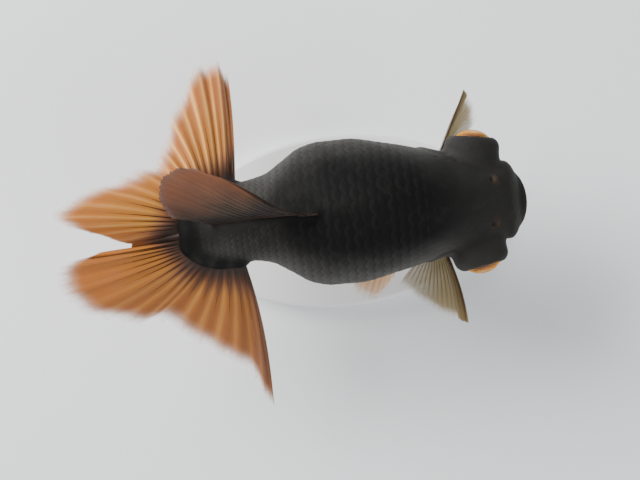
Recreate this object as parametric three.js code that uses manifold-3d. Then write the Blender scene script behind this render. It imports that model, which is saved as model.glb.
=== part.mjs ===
// A life-size display model of a telescope goldfish with a butterfly tail, held over an oval base by
// two rods.
//
// Frame: millimetres, +X towards the snout, +Y to the fish's left, +Z up. The origin is the centre of the
// base's underside. On the fish a place is given as (back, left, up): back is the distance behind the
// snout, left the distance from the straight line through the fish, and up the height above the mouth.
import * as THREE from "three";
import { mergeVertices } from "three/addons/utils/BufferGeometryUtils.js";
import Module from "manifold-3d";

const wasm = await Module();
wasm.setup();

// ---------------------------------------------------------------- driving dimensions
const SNOUT_X = 46; // the snout ahead of the base's centre, which puts the fish's weight over the base
const MOUTH_Z = 48; // the mouth above the table
const BODY_LENGTH = 86; // snout to the end of the fleshy tail root
const GAP = 0.3; // clearance between neighbouring solids

const FACE_BACK = 1.1; // front of the body, behind the lips
const GILL_BACK = 24; // where head and trunk part
const VENT_BACK = 65; // where trunk and caudal peduncle part
const SNOUT_CAP = 4; // length of the round front end of the body
const TAIL_CAP = 8.5; // length of the round rear end of the body
const BODY_SIDES = 26; // facets round the body

const EYE_RADIUS = 5.7;
const FIN_ROOT_THICKNESS = 1.3;
const FIN_EDGE_THICKNESS = 0.6;

const BASE_HALF_LENGTH = 42;
const BASE_HALF_WIDTH = 24;
const BASE_THICKNESS = 6;
const BASE_BEVEL = 1;
const ROD_RADIUS = 1.6;
const COLLAR_RADIUS = 3.6;
const COLLAR_HEIGHT = 1.6;

// ---------------------------------------------------------------- curves
const place = (back, left, up) => new THREE.Vector3(SNOUT_X - back, left, MOUTH_Z + up);
const places = (list) => list.map((p) => place(...p));

// A smooth line through stations [where, value] that never overshoots them.
function smooth(stations) {
  const x = stations.map((s) => s[0]);
  const y = stations.map((s) => s[1]);
  const last = x.length - 1;
  const rise = x.slice(1).map((_, i) => (y[i + 1] - y[i]) / (x[i + 1] - x[i]));
  const slope = x.map((_, i) => {
    if (i === 0) return rise[0];
    if (i === last) return rise[last - 1];
    const before = rise[i - 1];
    const after = rise[i];
    return before * after <= 0 ? 0 : (2 * before * after) / (before + after);
  });
  return (at) => {
    const k = Math.max(0, Math.min(last - 1, x.findIndex((_, i) => i < last && at < x[i + 1])));
    const i = at >= x[last] ? last - 1 : k;
    const h = x[i + 1] - x[i];
    const t = Math.max(0, Math.min(1, (at - x[i]) / h));
    const t2 = t * t;
    const t3 = t2 * t;
    return (
      (2 * t3 - 3 * t2 + 1) * y[i] +
      (t3 - 2 * t2 + t) * h * slope[i] +
      (3 * t2 - 2 * t3) * y[i + 1] +
      (t3 - t2) * h * slope[i + 1]
    );
  };
}

// A curve through places, as a function of 0 to 1 that gives each place an equal share.
function through(list) {
  const curve = new THREE.CatmullRomCurve3(list, false, "centripetal");
  return (t) => curve.getPoint(Math.max(0, Math.min(1, t)));
}

const mix = THREE.MathUtils.lerp;

// ---------------------------------------------------------------- body form
// The outline before its two ends are rounded off, as heights above the mouth and half widths.
const backLine = smooth([
  [0, 5.4], [5, 9.6], [10, 13.8], [16, 18.4], [24, 22.6], [38, 26],
  [48, 24.8], [58, 19.8], [66, 14.6], [74, 11.8], [86, 10.8],
]);
const bellyLine = smooth([
  [0, -5.8], [5, -9.4], [11, -13.2], [18, -16.8], [26, -19.6], [36, -21.6],
  [46, -22], [54, -19.2], [60, -13.6], [66, -7.6], [74, -3.2], [86, -1.6],
]);
const halfWidth = smooth([
  [0, 10.8], [6, 10.1], [12, 10.8], [18, 12.1], [24, 13.9], [34, 16.5], [44, 18.3],
  [50, 18.3], [55, 17.2], [60, 14.1], [65, 11.2], [72, 9.8], [79, 8.8], [86, 7.7],
]);
const midLine = smooth([[0, 0.2], [24, 1.2], [46, 1.6], [66, 1.8], [86, 0]]);
// How square the section is: 2 is an ellipse, less has a keel, more is boxier.
const backSquareness = smooth([[0, 2.2], [12, 2.3], [30, 1.95], [60, 1.85], [86, 2]]);
const bellySquareness = smooth([[0, 2.2], [24, 2.2], [46, 2.3], [66, 2], [86, 2]]);

// The share of the full section left by the round ends, in a body grown by `grow`.
function roundEnds(back, grow) {
  const front = Math.min(1, (back - FACE_BACK + grow) / (SNOUT_CAP + grow));
  const rear = Math.min(1, (BODY_LENGTH + grow - back) / (TAIL_CAP + grow));
  const arc = (t) => Math.sqrt(Math.max(0, 1 - (1 - t) ** 2));
  return arc(front) * arc(rear);
}

// A point on the body's surface. The turn runs round the section, from 0 at the left side through the back.
function bodyPoint(back, turn, grow = 0) {
  const top = backLine(back);
  const bottom = bellyLine(back);
  const middle = mix(bottom, top, 0.47);
  const share = roundEnds(back, grow);
  const c = Math.cos(turn);
  const s = Math.sin(turn);
  const n = s >= 0 ? backSquareness(back) : bellySquareness(back);
  const reach = (Math.abs(c) ** n + Math.abs(s) ** n) ** (-1 / n);
  const wide = (halfWidth(back) + grow) * share;
  const high = ((s >= 0 ? top - middle : middle - bottom) + grow) * share;
  return place(back, midLine(back) + wide * c * reach, middle + high * s * reach);
}

// ---------------------------------------------------------------- solids
function closedSurface(points, faces) {
  const geometry = new THREE.BufferGeometry();
  geometry.setAttribute("position", new THREE.Float32BufferAttribute(points.flatMap((p) => p.toArray()), 3));
  geometry.setIndex(faces.flat());
  return geometry;
}

// A closed solid through rings of points that run anticlockwise seen from the first ring's far side.
function loft(rings, firstPole, lastPole) {
  const n = rings[0].length;
  const points = rings.flat();
  const centre = (ring) => ring.reduce((sum, p) => sum.add(p), new THREE.Vector3()).divideScalar(n);
  const first = points.push(firstPole ?? centre(rings[0])) - 1;
  const last = points.push(lastPole ?? centre(rings.at(-1))) - 1;
  const faces = [];
  for (let j = 0; j < n; j++) {
    const k = (j + 1) % n;
    faces.push([first, j, k]);
    for (let i = 0; i + 1 < rings.length; i++) {
      const a = i * n + j;
      const b = i * n + k;
      faces.push([a, a + n, b], [b, a + n, b + n]);
    }
    const end = (rings.length - 1) * n;
    faces.push([last, end + k, end + j]);
  }
  return closedSurface(points, faces);
}

function bodyRing(back, grow) {
  return Array.from({ length: BODY_SIDES }, (_, j) => bodyPoint(back, (2 * Math.PI * j) / BODY_SIDES, grow));
}

// Stations along the body, packed towards a round end where there is one.
const even = (t) => t;
const denseFront = (t) => 1 - Math.cos((Math.PI / 2) * t);
const denseRear = (t) => Math.sin((Math.PI / 2) * t);
const stretch = (from, to, steps, ease) =>
  Array.from({ length: steps + 1 }, (_, i) => mix(from, to, ease(i / steps)));
const HEAD = stretch(FACE_BACK, GILL_BACK - GAP / 2, 10, denseFront);
const TRUNK = stretch(GILL_BACK + GAP / 2, VENT_BACK - GAP / 2, 12, even);
const PEDUNCLE = stretch(VENT_BACK + GAP / 2, BODY_LENGTH, 7, denseRear);

// The body through the stations. An end at the face or the tail root closes in a point, the others are flat.
function bodySolid(stations, grow = 0) {
  const atFace = stations[0] === FACE_BACK;
  const atTail = stations.at(-1) === BODY_LENGTH;
  const rings = stations.slice(atFace ? 1 : 0, atTail ? -1 : undefined).map((back) => bodyRing(back, grow));
  const facePole = atFace ? bodyPoint(FACE_BACK - grow, 0, grow) : undefined;
  const tailPole = atTail ? bodyPoint(BODY_LENGTH + grow, 0, grow) : undefined;
  return loft(rings, facePole, tailPole);
}

// ---------------------------------------------------------------- cutting and joining
function solidOf(geometry) {
  const bare = geometry.clone();
  bare.deleteAttribute("normal");
  bare.deleteAttribute("uv");
  const merged = mergeVertices(bare, 1e-4);
  return new wasm.Manifold(
    new wasm.Mesh({
      numProp: 3,
      vertProperties: merged.attributes.position.array,
      triVerts: new Uint32Array(merged.index.array),
    }),
  );
}

function geometryOf(solid) {
  const mesh = solid.getMesh();
  const geometry = new THREE.BufferGeometry();
  geometry.setAttribute("position", new THREE.BufferAttribute(mesh.vertProperties, 3));
  geometry.setIndex(new THREE.BufferAttribute(mesh.triVerts, 1));
  return geometry;
}

// What is left of a geometry once the cutters are taken away, without crumbs.
function cut(geometry, ...cutters) {
  let left = solidOf(geometry);
  for (const cutter of cutters) left = left.subtract(cutter);
  const pieces = left.decompose().sort((a, b) => b.volume() - a.volume());
  return geometryOf(pieces[0]);
}

const bodyCutter = solidOf(bodySolid([...HEAD, ...TRUNK, ...PEDUNCLE], GAP));

// ---------------------------------------------------------------- eyes
// Each eye sits in the end of a fleshy turret, whose axis points outward. The profile is [radius, along].
const eyes = [
  { side: "left", centre: place(12.8, 12.6, 4), outward: new THREE.Vector3(0.15, 1, 0.08).normalize() },
  { side: "right", centre: place(13.3, -11.4, 4), outward: new THREE.Vector3(0.18, -1, 0.08).normalize() },
];
const TURRET_PROFILE = [
  [0, -9], [5.7, -9], [6.3, -4], [7, -1], [6.9, 1.2], [6.4, 3], [5.6, 3.9], [4.6, 4.25], [0, 4.25],
];

function alongAxis(geometry, axis, origin) {
  geometry.applyQuaternion(new THREE.Quaternion().setFromUnitVectors(new THREE.Vector3(0, 1, 0), axis));
  return geometry.translate(...origin.toArray());
}

const turret = ({ outward, centre }, grow = 0) =>
  alongAxis(
    new THREE.LatheGeometry(
      TURRET_PROFILE.map(([r, along]) => new THREE.Vector2(r === 0 ? 0 : r + grow, along)),
      18,
    ),
    outward,
    centre,
  );

const eyeball = ({ outward, centre }, radius) =>
  alongAxis(new THREE.SphereGeometry(radius, 16, 8), outward, centre);

// ---------------------------------------------------------------- gill covers
// A curved plate let into the side of the head and trunk, flush in front and proud along its free rear edge.
const COVER = {
  back: 20.2,
  turn: -0.42,
  halfLength: 6.4,
  halfTurn: 0.78,
  depth: 0.7,
  proudFront: 0.15,
  proudRear: 0.7,
};

function gillCover(side, { spread = 0, depth = COVER.depth, proud } = {}) {
  const rim = 20;
  const layers = 3;
  const spot = (share, around, grow) => {
    const back = COVER.back + (COVER.halfLength + spread) * share * Math.cos(around);
    const swing = COVER.turn + (COVER.halfTurn + spread / 12) * share * Math.sin(around);
    return bodyPoint(back, side === "left" ? swing : Math.PI - swing, grow);
  };
  const standing = (share, around) =>
    proud ?? mix(COVER.proudFront, COVER.proudRear, (1 + share * Math.cos(around)) / 2);
  const ring = (share, grow) =>
    Array.from({ length: rim }, (_, j) => {
      const around = ((side === "left" ? -1 : 1) * 2 * Math.PI * j) / rim;
      return spot(share, around, grow ?? standing(share, around));
    });
  const rings = [];
  for (let i = 1; i <= layers; i++) rings.push(ring(i / layers, -depth));
  for (let i = layers; i >= 1; i--) rings.push(ring(i / layers));
  return loft(rings, spot(0, 0, -depth), spot(0, 0, standing(0, 0)));
}

// ---------------------------------------------------------------- lips
// A roll of flesh that arches from one corner of the mouth to the other and thins towards the corners.
function lip({ corner, crown, roll }) {
  const steps = 12;
  const sides = 8;
  const rings = [];
  for (let i = 0; i <= steps; i++) {
    const swing = mix(-1, 1, i / steps);
    const bulge = 1 - swing * swing;
    const centre = place(
      mix(corner.back, crown.back, bulge),
      midLine(0) + corner.left * swing,
      mix(corner.up, crown.up, bulge),
    );
    const radius = mix(roll * 0.45, roll, Math.sqrt(bulge));
    rings.push(
      Array.from({ length: sides }, (_, j) => {
        const turn = (2 * Math.PI * j) / sides;
        return centre.clone().add(new THREE.Vector3(radius * Math.cos(turn), 0, radius * Math.sin(turn)));
      }),
    );
  }
  return loft(rings);
}
const UPPER_LIP = {
  corner: { back: 1.9, left: 5.2, up: -1.4 },
  crown: { back: 1.15, up: 1.15 },
  roll: 1.15,
};
const LOWER_LIP = {
  corner: { back: 2.1, left: 4.7, up: -3.6 },
  crown: { back: 1.35, up: -1.75 },
  roll: 1.05,
};

// ---------------------------------------------------------------- nostril flaps
// A small fold of skin stands between the two openings of each nostril.
const NOSTRILS = [
  { side: "left", back: 8.5, turn: 1.1 },
  { side: "right", back: 9.2, turn: Math.PI - 0.98 },
];
const NOSTRIL_SIZE = new THREE.Vector3(0.75, 1.15, 1.1);

function nostrilFlap({ back, turn }) {
  const [x, y, z] = bodyPoint(back, turn).toArray();
  return new THREE.SphereGeometry(1, 8, 5).scale(...NOSTRIL_SIZE.toArray()).translate(x, y, z);
}

// ---------------------------------------------------------------- fins
// A fin is a thin sheet of rays. Ray number a, from 0 to 1, leaves root(a) and ends at margin(a). A third
// and two thirds of the way it is pulled off the straight line by near(a) and far(a). Shallow pleats run
// along the rays and deepen towards the margin. The sheet starts inside the body, which cuts it.
function finSheet({ root, margin, near, far, pleats, pleatDepth }) {
  const onRay = (a, r) => {
    const start = root(a);
    const end = margin(a);
    const first = start.clone().lerp(end, 1 / 3).add(near(a));
    const second = start.clone().lerp(end, 2 / 3).add(far(a));
    return new THREE.CubicBezierCurve3(start, first, second, end).getPoint(r);
  };
  const normal = (a, r) => {
    const step = 1e-3;
    const across = onRay(Math.min(1, a + step), r).sub(onRay(Math.max(0, a - step), r));
    const along = onRay(a, Math.min(1, r + step)).sub(onRay(a, Math.max(0, r - step)));
    return across.cross(along).normalize();
  };
  return (a, r, offset) => {
    const wave = pleatDepth * r * Math.sin(2 * Math.PI * pleats * a);
    return onRay(a, r).addScaledVector(normal(a, r), wave + offset);
  };
}

function fin(spec, { from = 0, to = 1, columns, rows }) {
  const sheet = finSheet(spec);
  const points = [];
  const faces = [];
  const half = (r) => mix(FIN_ROOT_THICKNESS, FIN_EDGE_THICKNESS, Math.sqrt(r)) / 2;
  for (const face of [1, -1])
    for (let i = 0; i <= columns; i++)
      for (let k = 0; k <= rows; k++) {
        const r = k / rows;
        points.push(sheet(mix(from, to, i / columns), r, face * half(r)));
      }
  const far = (columns + 1) * (rows + 1);
  const at = (i, k) => i * (rows + 1) + k;
  const quad = (a, b, c, d) => faces.push([a, b, c], [a, c, d]);
  for (let i = 0; i < columns; i++)
    for (let k = 0; k < rows; k++) {
      quad(at(i, k), at(i + 1, k), at(i + 1, k + 1), at(i, k + 1));
      quad(far + at(i, k), far + at(i, k + 1), far + at(i + 1, k + 1), far + at(i + 1, k));
    }
  for (let i = 0; i < columns; i++) {
    quad(at(i + 1, 0), at(i, 0), far + at(i, 0), far + at(i + 1, 0));
    quad(at(i, rows), at(i + 1, rows), far + at(i + 1, rows), far + at(i, rows));
  }
  for (let k = 0; k < rows; k++) {
    quad(at(0, k), at(0, k + 1), far + at(0, k + 1), far + at(0, k));
    quad(at(columns, k + 1), at(columns, k), far + at(columns, k), far + at(columns, k + 1));
  }
  return closedSurface(points, faces);
}

// Pulls on the first, middle and last ray as (back, left, up), shared out over the rays between them.
const pull = (...list) => through(list.map(([back, left, up]) => new THREE.Vector3(-back, left, up)));
const still = pull([0, 0, 0], [0, 0, 0]);

const DORSAL = {
  root: through(places([[50, 1.6, 22], [59, 1.6, 17], [68, 1.5, 11.4], [76, 1.2, 9.4]])),
  margin: through(places([
    [75.4, 12.4, 33.8], [81, 14.4, 35.4], [86, 13.2, 33], [88.2, 8.4, 27.6], [86.4, 3.8, 19],
  ])),
  near: pull([2, -6.5, 4], [0, -2.5, 3], [0, 0, 1]),
  far: pull([-1, 0.5, 4], [0, 0, 3], [0, 0, 1]),
  pleats: 4,
  pleatDepth: 0.35,
};
const TAIL_RIGHT = {
  root: through(places([
    [82.6, -0.6, 8], [83, -2.6, 7], [81, -4.2, 5.6], [77, -5.2, 4.2], [72.2, -5.6, 2.6],
  ])),
  margin: through(places([
    [97.7, -1.9, 9.5], [108, -3.1, 13], [115.2, -5, 14], [116, -10, 12.6], [112.8, -15, 10],
    [102.6, -19.9, 4.5], [93.4, -21, -1], [84.2, -28.8, -5.5], [74.2, -35.8, -10], [68.6, -46.6, -13.5],
  ])),
  near: pull([0, 0, -1], [-0.6, -1, 2], [-2.7, 0.5, 4]),
  far: pull([0, 0, -1], [-0.6, -1, 2.5], [-1.8, 0.5, 3]),
  pleats: 8,
  pleatDepth: 0.7,
};
const TAIL_LEFT = {
  root: through(places([
    [82.6, 0.6, 8], [83, 3.4, 7], [81.4, 5.6, 5.6], [77.4, 7.4, 4.2], [72.2, 8, 2.6],
  ])),
  margin: through(places([
    [97.7, -1.2, 9.5], [105.5, 1.8, 13.5], [115.4, 7.2, 17.5], [106.3, 13, 11.5], [96, 16.6, 4.5],
    [91.2, 19, 0], [88.6, 25.4, -3], [84.5, 34.4, -6.5], [79, 43, -10.5], [74.4, 43.8, -11.5],
    [71.7, 40.4, -11],
  ])),
  near: pull([0, 0, -1], [-1, 1, 2], [-1, 0, 3]),
  far: pull([0, 0, -1], [-1, 1, 2.5], [-1.2, 0, 3]),
  pleats: 8,
  pleatDepth: 0.7,
};
const PECTORAL_RIGHT = {
  root: through(places([[21.3, -9.5, -7.5], [24.6, -10.4, -11.5]])),
  margin: through(places([[16.3, -30.3, -12], [21.2, -28, -15.5], [27.2, -23.8, -18], [32.8, -18.8, -18.6]])),
  near: pull([-1.4, 0, 1.5], [0, 0, 1], [1, 0, 0]),
  far: pull([-1.4, 0, 1], [0, 0, 1], [1, 0, 0]),
  pleats: 3,
  pleatDepth: 0.25,
};
const PECTORAL_LEFT = {
  root: through(places([[20.8, 11, -7.5], [21.8, 11, -12]])),
  margin: through(places([[11.6, 29.9, -9.5], [9.2, 27, -14], [8.2, 23, -18], [9.4, 18.6, -20.5]])),
  near: pull([0.6, 0, 1.5], [1, 0.5, 0], [1, 1, -1]),
  far: pull([0.3, 0, 1], [1, 0.5, 0], [1, 1, -1]),
  pleats: 3,
  pleatDepth: 0.25,
};
const PELVIC_RIGHT = {
  root: through(places([[31.4, -5.5, -17.5], [35, -4.5, -18]])),
  margin: through(places([
    [33.6, -17.2, -28.6], [38.6, -22.4, -29.6], [43.4, -20.8, -29.8], [46.4, -16, -29],
  ])),
  near: pull([-1, 0, 1], [0, -1, 1], [1, 0, 0]),
  far: still,
  pleats: 3,
  pleatDepth: 0.25,
};
const PELVIC_LEFT = {
  root: through(places([[31.4, 8, -17.5], [35, 7, -18]])),
  margin: through(places([[37.6, 15.6, -31], [42.4, 17.6, -32], [46.6, 15.6, -31.4], [48, 11.6, -29.4]])),
  near: pull([-1, 0, 1], [0, 1, 1], [1, 0, 0]),
  far: still,
  pleats: 3,
  pleatDepth: 0.25,
};
const ANAL_RIGHT = {
  root: through(places([[64.4, -1.4, -5], [69.6, -2.2, -1.6]])),
  margin: through(places([[76.4, -6.4, -21], [80.4, -6.6, -17.4], [82, -6, -12.6], [79.6, -5, -7.6]])),
  near: pull([-1.5, 0, -1], [0, 0, 0], [0, 0, 0]),
  far: still,
  pleats: 3,
  pleatDepth: 0.25,
};
const ANAL_LEFT = {
  ...ANAL_RIGHT,
  root: through(places([[64.4, 4.6, -5], [69.6, 5, -1.6]])),
  margin: through(places([[76.8, 8.6, -20.4], [80.6, 8.8, -17], [82, 8.2, -12.4], [79.6, 7.4, -7.6]])),
};

// ---------------------------------------------------------------- stand
const ROD_SPOTS = [
  { name: "front", back: 39 },
  { name: "rear", back: 53 },
];

function baseOval() {
  const oval = new THREE.Shape();
  oval.absellipse(0, 0, BASE_HALF_LENGTH - BASE_BEVEL, BASE_HALF_WIDTH - BASE_BEVEL, 0, 2 * Math.PI);
  return new THREE.ExtrudeGeometry(oval, {
    depth: BASE_THICKNESS - 2 * BASE_BEVEL,
    bevelSize: BASE_BEVEL,
    bevelThickness: BASE_BEVEL,
    bevelSegments: 2,
    curveSegments: 22,
  }).translate(0, 0, BASE_BEVEL);
}

const upright = (radius, bottom, top, x, y, sides) =>
  new THREE.CylinderGeometry(radius, radius, top - bottom, sides)
    .rotateX(Math.PI / 2)
    .translate(x, y, (bottom + top) / 2);

// ---------------------------------------------------------------- the model
const finish = (color, roughness, metalness = 0) =>
  new THREE.MeshStandardMaterial({ color, roughness, metalness });
const blackSkin = finish("#1c1b1a", 0.5);
const lipSkin = finish("#24211f", 0.45);
const eyeGloss = finish("#d9661a", 0.12);
const orangeFin = finish("#c06a2c", 0.5);
const duskyFin = finish("#8a5a40", 0.5);
const oliveFin = finish("#9c8a5c", 0.5);
const whiteLacquer = finish("#dfe0e2", 0.4);
const steel = finish("#b9bcc0", 0.3, 1);

const goldfish = new THREE.Group();
function add(name, geometry, material) {
  const mesh = new THREE.Mesh(geometry, material);
  mesh.name = name;
  goldfish.add(mesh);
}

const CLEAR_OF_SKIN = 3; // how far the gill covers' cutters reach out past the body
const coverCut = { spread: GAP, depth: COVER.depth + GAP, proud: CLEAR_OF_SKIN };
const covers = ["left", "right"].map((side) => solidOf(gillCover(side, coverCut)));
const turretCutters = eyes.map((eye) => solidOf(turret(eye, GAP)));

add("head", cut(bodySolid(HEAD), ...covers), blackSkin);
add("trunk", cut(bodySolid(TRUNK), ...covers), blackSkin);
add("caudal_peduncle", bodySolid(PEDUNCLE), blackSkin);
add("upper_lip", cut(lip(UPPER_LIP), bodyCutter), lipSkin);
const upperLipCutter = solidOf(lip({ ...UPPER_LIP, roll: UPPER_LIP.roll + GAP }));
add("lower_lip", cut(lip(LOWER_LIP), bodyCutter, upperLipCutter), lipSkin);

NOSTRILS.forEach((nostril) => add(`nostril_${nostril.side}`, cut(nostrilFlap(nostril), bodyCutter), lipSkin));

eyes.forEach((eye) => {
  const socket = solidOf(eyeball(eye, EYE_RADIUS + GAP));
  add(`eye_turret_${eye.side}`, cut(turret(eye), bodyCutter, socket), blackSkin);
  add(`eye_${eye.side}`, cut(eyeball(eye, EYE_RADIUS), bodyCutter), eyeGloss);
  add(`gill_cover_${eye.side}`, cut(gillCover(eye.side), ...turretCutters), blackSkin);
});

add("dorsal_fin", cut(fin(DORSAL, { columns: 12, rows: 6 }), bodyCutter), duskyFin);
const LOBE_CUT = 0.006; // half the cut between two lobes, as a share of the rays
for (const [side, tail, notch] of [["left", TAIL_LEFT, 0.5], ["right", TAIL_RIGHT, 0.6]]) {
  const upper = fin(tail, { from: 0, to: notch - LOBE_CUT, columns: 14, rows: 5 });
  const lower = fin(tail, { from: notch + LOBE_CUT, to: 1, columns: 14, rows: 5 });
  add(`tail_upper_lobe_${side}`, cut(upper, bodyCutter), orangeFin);
  add(`tail_lower_lobe_${side}`, cut(lower, bodyCutter), orangeFin);
}
for (const [name, spec, material] of [
  ["pectoral_fin_left", PECTORAL_LEFT, oliveFin],
  ["pectoral_fin_right", PECTORAL_RIGHT, oliveFin],
  ["pelvic_fin_left", PELVIC_LEFT, oliveFin],
  ["pelvic_fin_right", PELVIC_RIGHT, oliveFin],
  ["anal_fin_left", ANAL_LEFT, orangeFin],
  ["anal_fin_right", ANAL_RIGHT, orangeFin],
])
  add(name, cut(fin(spec, { columns: 9, rows: 4 }), bodyCutter, ...covers), material);

add("stand_base", baseOval(), whiteLacquer);
ROD_SPOTS.forEach(({ name, back }) => {
  const { x, y } = place(back, midLine(back), 0);
  const foot = BASE_THICKNESS + GAP;
  const rodHole = solidOf(upright(ROD_RADIUS + GAP, 0, MOUTH_Z, x, y, 16));
  const collar = upright(COLLAR_RADIUS, foot, foot + COLLAR_HEIGHT, x, y, 20);
  add(`stand_rod_${name}`, cut(upright(ROD_RADIUS, foot, MOUTH_Z, x, y, 16), bodyCutter), steel);
  add(`stand_collar_${name}`, cut(collar, rodHole), steel);
});

export default goldfish;
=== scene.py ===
# %% [markdown]
# A black telescope goldfish with an orange butterfly tail, life size, on a display stand. The solid model
# comes first and says where everything is. Blender adds what solids can't show: one unbroken skin,
# overlapping scales, thin see-through fins on stiff rays, and wet eyes. Everything below is worked out in
# millimetres in the fish's own space and turned into metres at the last moment, because numbers such as
# 0.3 mm are easier to judge than 0.0003 m.

# %% Load the solid model as a fixed frame
import math

import bpy
import numpy as np
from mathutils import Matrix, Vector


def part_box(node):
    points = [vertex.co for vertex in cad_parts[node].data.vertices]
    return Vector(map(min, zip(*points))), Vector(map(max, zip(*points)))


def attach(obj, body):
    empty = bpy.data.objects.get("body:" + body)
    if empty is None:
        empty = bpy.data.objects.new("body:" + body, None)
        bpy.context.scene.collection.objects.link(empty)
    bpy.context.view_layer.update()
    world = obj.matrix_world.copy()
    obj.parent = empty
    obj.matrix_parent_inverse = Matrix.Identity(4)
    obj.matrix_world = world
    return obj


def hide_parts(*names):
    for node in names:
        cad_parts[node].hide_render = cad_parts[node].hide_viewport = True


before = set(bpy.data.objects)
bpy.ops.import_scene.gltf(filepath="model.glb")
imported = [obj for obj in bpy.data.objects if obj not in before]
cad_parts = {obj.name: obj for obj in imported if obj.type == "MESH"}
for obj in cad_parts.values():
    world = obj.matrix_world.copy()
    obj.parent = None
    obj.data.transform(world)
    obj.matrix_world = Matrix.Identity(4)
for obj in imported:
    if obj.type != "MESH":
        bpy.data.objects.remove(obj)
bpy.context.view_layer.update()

print("solid model:", len(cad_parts), "nodes")

# %% [markdown]
# The fish's own space has its origin at the snout, at the height of the mouth. A place on it is given as
# how far back, how far to the left and how far up. The snout is the front of the upper lip, and the mouth
# lies a known step below the middle of the eyes, so both are read from the frame instead of being typed
# in again.

# %% Find the fish's own space in the frame
MM = 0.001
EYE_ABOVE_MOUTH = 4.0

eye_low, eye_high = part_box("eye_left")
mouth_height = (eye_low.z + eye_high.z) / 2 / MM - EYE_ABOVE_MOUTH
fish_origin = np.array([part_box("upper_lip")[1].x / MM, 0.0, mouth_height])


def place(back, left, up):
    return np.array([-back, left, up], float)


def metres(points):
    """World places in metres for places in the fish's space in millimetres."""
    return (np.asarray(points) + fish_origin) * MM


print("snout at", fish_origin.round(2), "mm")

# %% [markdown]
# Organic outlines need two kinds of curve. One gives a value at each station along the body, such as the
# half width, and must not swing past its stations, so its slopes are the harmonic mean of the rises on
# each side. The other runs through places in space, such as the tips of a fin's rays, and is a
# centripetal Catmull-Rom curve, which makes no loops where its points crowd together.

# %% Curves
def hermite(t, start, end, slope_in, slope_out):
    t2, t3 = t * t, t * t * t
    return (
        (2 * t3 - 3 * t2 + 1) * start + (t3 - 2 * t2 + t) * slope_in
        + (3 * t2 - 2 * t3) * end + (t3 - t2) * slope_out
    )


def smooth(*stations):
    """One value along the body, from (station, value) pairs."""
    x, y = np.array(stations, float).T
    rise = np.diff(y) / np.diff(x)
    before, after = rise[:-1], rise[1:]
    steady = before * after > 0
    inner = np.where(steady, 2 * before * after / np.where(steady, before + after, 1), 0)
    slope = np.concatenate([rise[:1], inner, rise[-1:]])

    def value(at):
        i = np.clip(np.searchsorted(x, at, side="right") - 1, 0, len(x) - 2)
        gap = x[i + 1] - x[i]
        t = np.clip((at - x[i]) / gap, 0, 1)
        return hermite(t, y[i], y[i + 1], slope[i] * gap, slope[i + 1] * gap)

    return value


def through(*places):
    """A place for every share from 0 to 1 of a curve through some places."""
    points = np.array(places, float)
    points = np.concatenate([[2 * points[0] - points[1]], points, [2 * points[-1] - points[-2]]])
    step = np.maximum(np.linalg.norm(np.diff(points, axis=0), axis=1) ** 0.5, 1e-4)[:, None]
    rise = np.diff(points, axis=0) / step
    wide = (points[2:] - points[:-2]) / (step[1:] + step[:-1])
    slope = rise[:-1] - wide + rise[1:]

    def position(t):
        share = np.clip(np.asarray(t, float), 0, 1) * (len(places) - 1)
        i = np.minimum(share.astype(int), len(places) - 2)
        w = (share - i)[..., None]
        return hermite(w, points[i + 1], points[i + 2], slope[i] * step[i + 1], slope[i + 1] * step[i + 1])

    return position


def smoothstep(low, high, value):
    t = np.clip((value - low) / (high - low), 0, 1)
    return t * t * (3 - 2 * t)

# %% [markdown]
# The body is a set of cross-sections threaded on the line from snout to tail root: how high the back
# stands and how low the belly hangs from the mouth, how wide each section is, and how far it sits off the
# straight line, because this fish is caught with a slight bend. The stations are the same as the solid's.
# A level is made from them that is -1 in the middle of the body, 0 on its surface and positive outside,
# and dividing it by its own steepness turns it into something close to a distance, which can be blended
# with the distances of other forms.

# %% The body's form
FACE_BACK, BODY_LENGTH = 1.1, 86
SNOUT_CAP, TAIL_CAP = 4, 8.5
MIDDLE_SHARE = 0.47

back_line = smooth(
    (0, 5.4), (5, 9.6), (10, 13.8), (16, 18.4), (24, 22.6), (38, 26),
    (48, 24.8), (58, 19.8), (66, 14.6), (74, 11.8), (86, 10.8),
)
belly_line = smooth(
    (0, -5.8), (5, -9.4), (11, -13.2), (18, -16.8), (26, -19.6), (36, -21.6),
    (46, -22), (54, -19.2), (60, -13.6), (66, -7.6), (74, -3.2), (86, -1.6),
)
half_width = smooth(
    (0, 10.8), (6, 10.1), (12, 10.8), (18, 12.1), (24, 13.9), (34, 16.5), (44, 18.3),
    (50, 18.3), (55, 17.2), (60, 14.1), (65, 11.2), (72, 9.8), (79, 8.8), (86, 7.7),
)
mid_line = smooth((0, 0.2), (24, 1.2), (46, 1.6), (66, 1.8), (86, 0))
back_squareness = smooth((0, 2.2), (12, 2.3), (30, 1.95), (60, 1.85), (86, 2))
belly_squareness = smooth((0, 2.2), (24, 2.2), (46, 2.3), (66, 2), (86, 2))


def heights(back):
    """The heights of the back, of the section's widest part and of the belly at a station."""
    top, bottom = back_line(back), belly_line(back)
    return top, bottom + MIDDLE_SHARE * (top - bottom), bottom


def section(x, y, z):
    """Where a place lies in its cross-section, as signed shares of its half width and half height."""
    back = -x
    top, middle, bottom = heights(back)
    across = (y - mid_line(back)) / half_width(back)
    above = (z - middle) / np.where(z > middle, top - middle, middle - bottom)
    return across, above


def body_level(x, y, z):
    across, above = section(x, y, z)
    power = np.where(above > 0, back_squareness(-x), belly_squareness(-x))
    girth = (np.abs(across) ** power + np.abs(above) ** power) ** (1 / power)
    nose = np.maximum(FACE_BACK + SNOUT_CAP + x, 0) / SNOUT_CAP
    rump = np.maximum(TAIL_CAP - BODY_LENGTH - x, 0) / TAIL_CAP
    return np.sqrt(girth**2 + nose**2 + rump**2) - 1


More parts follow.
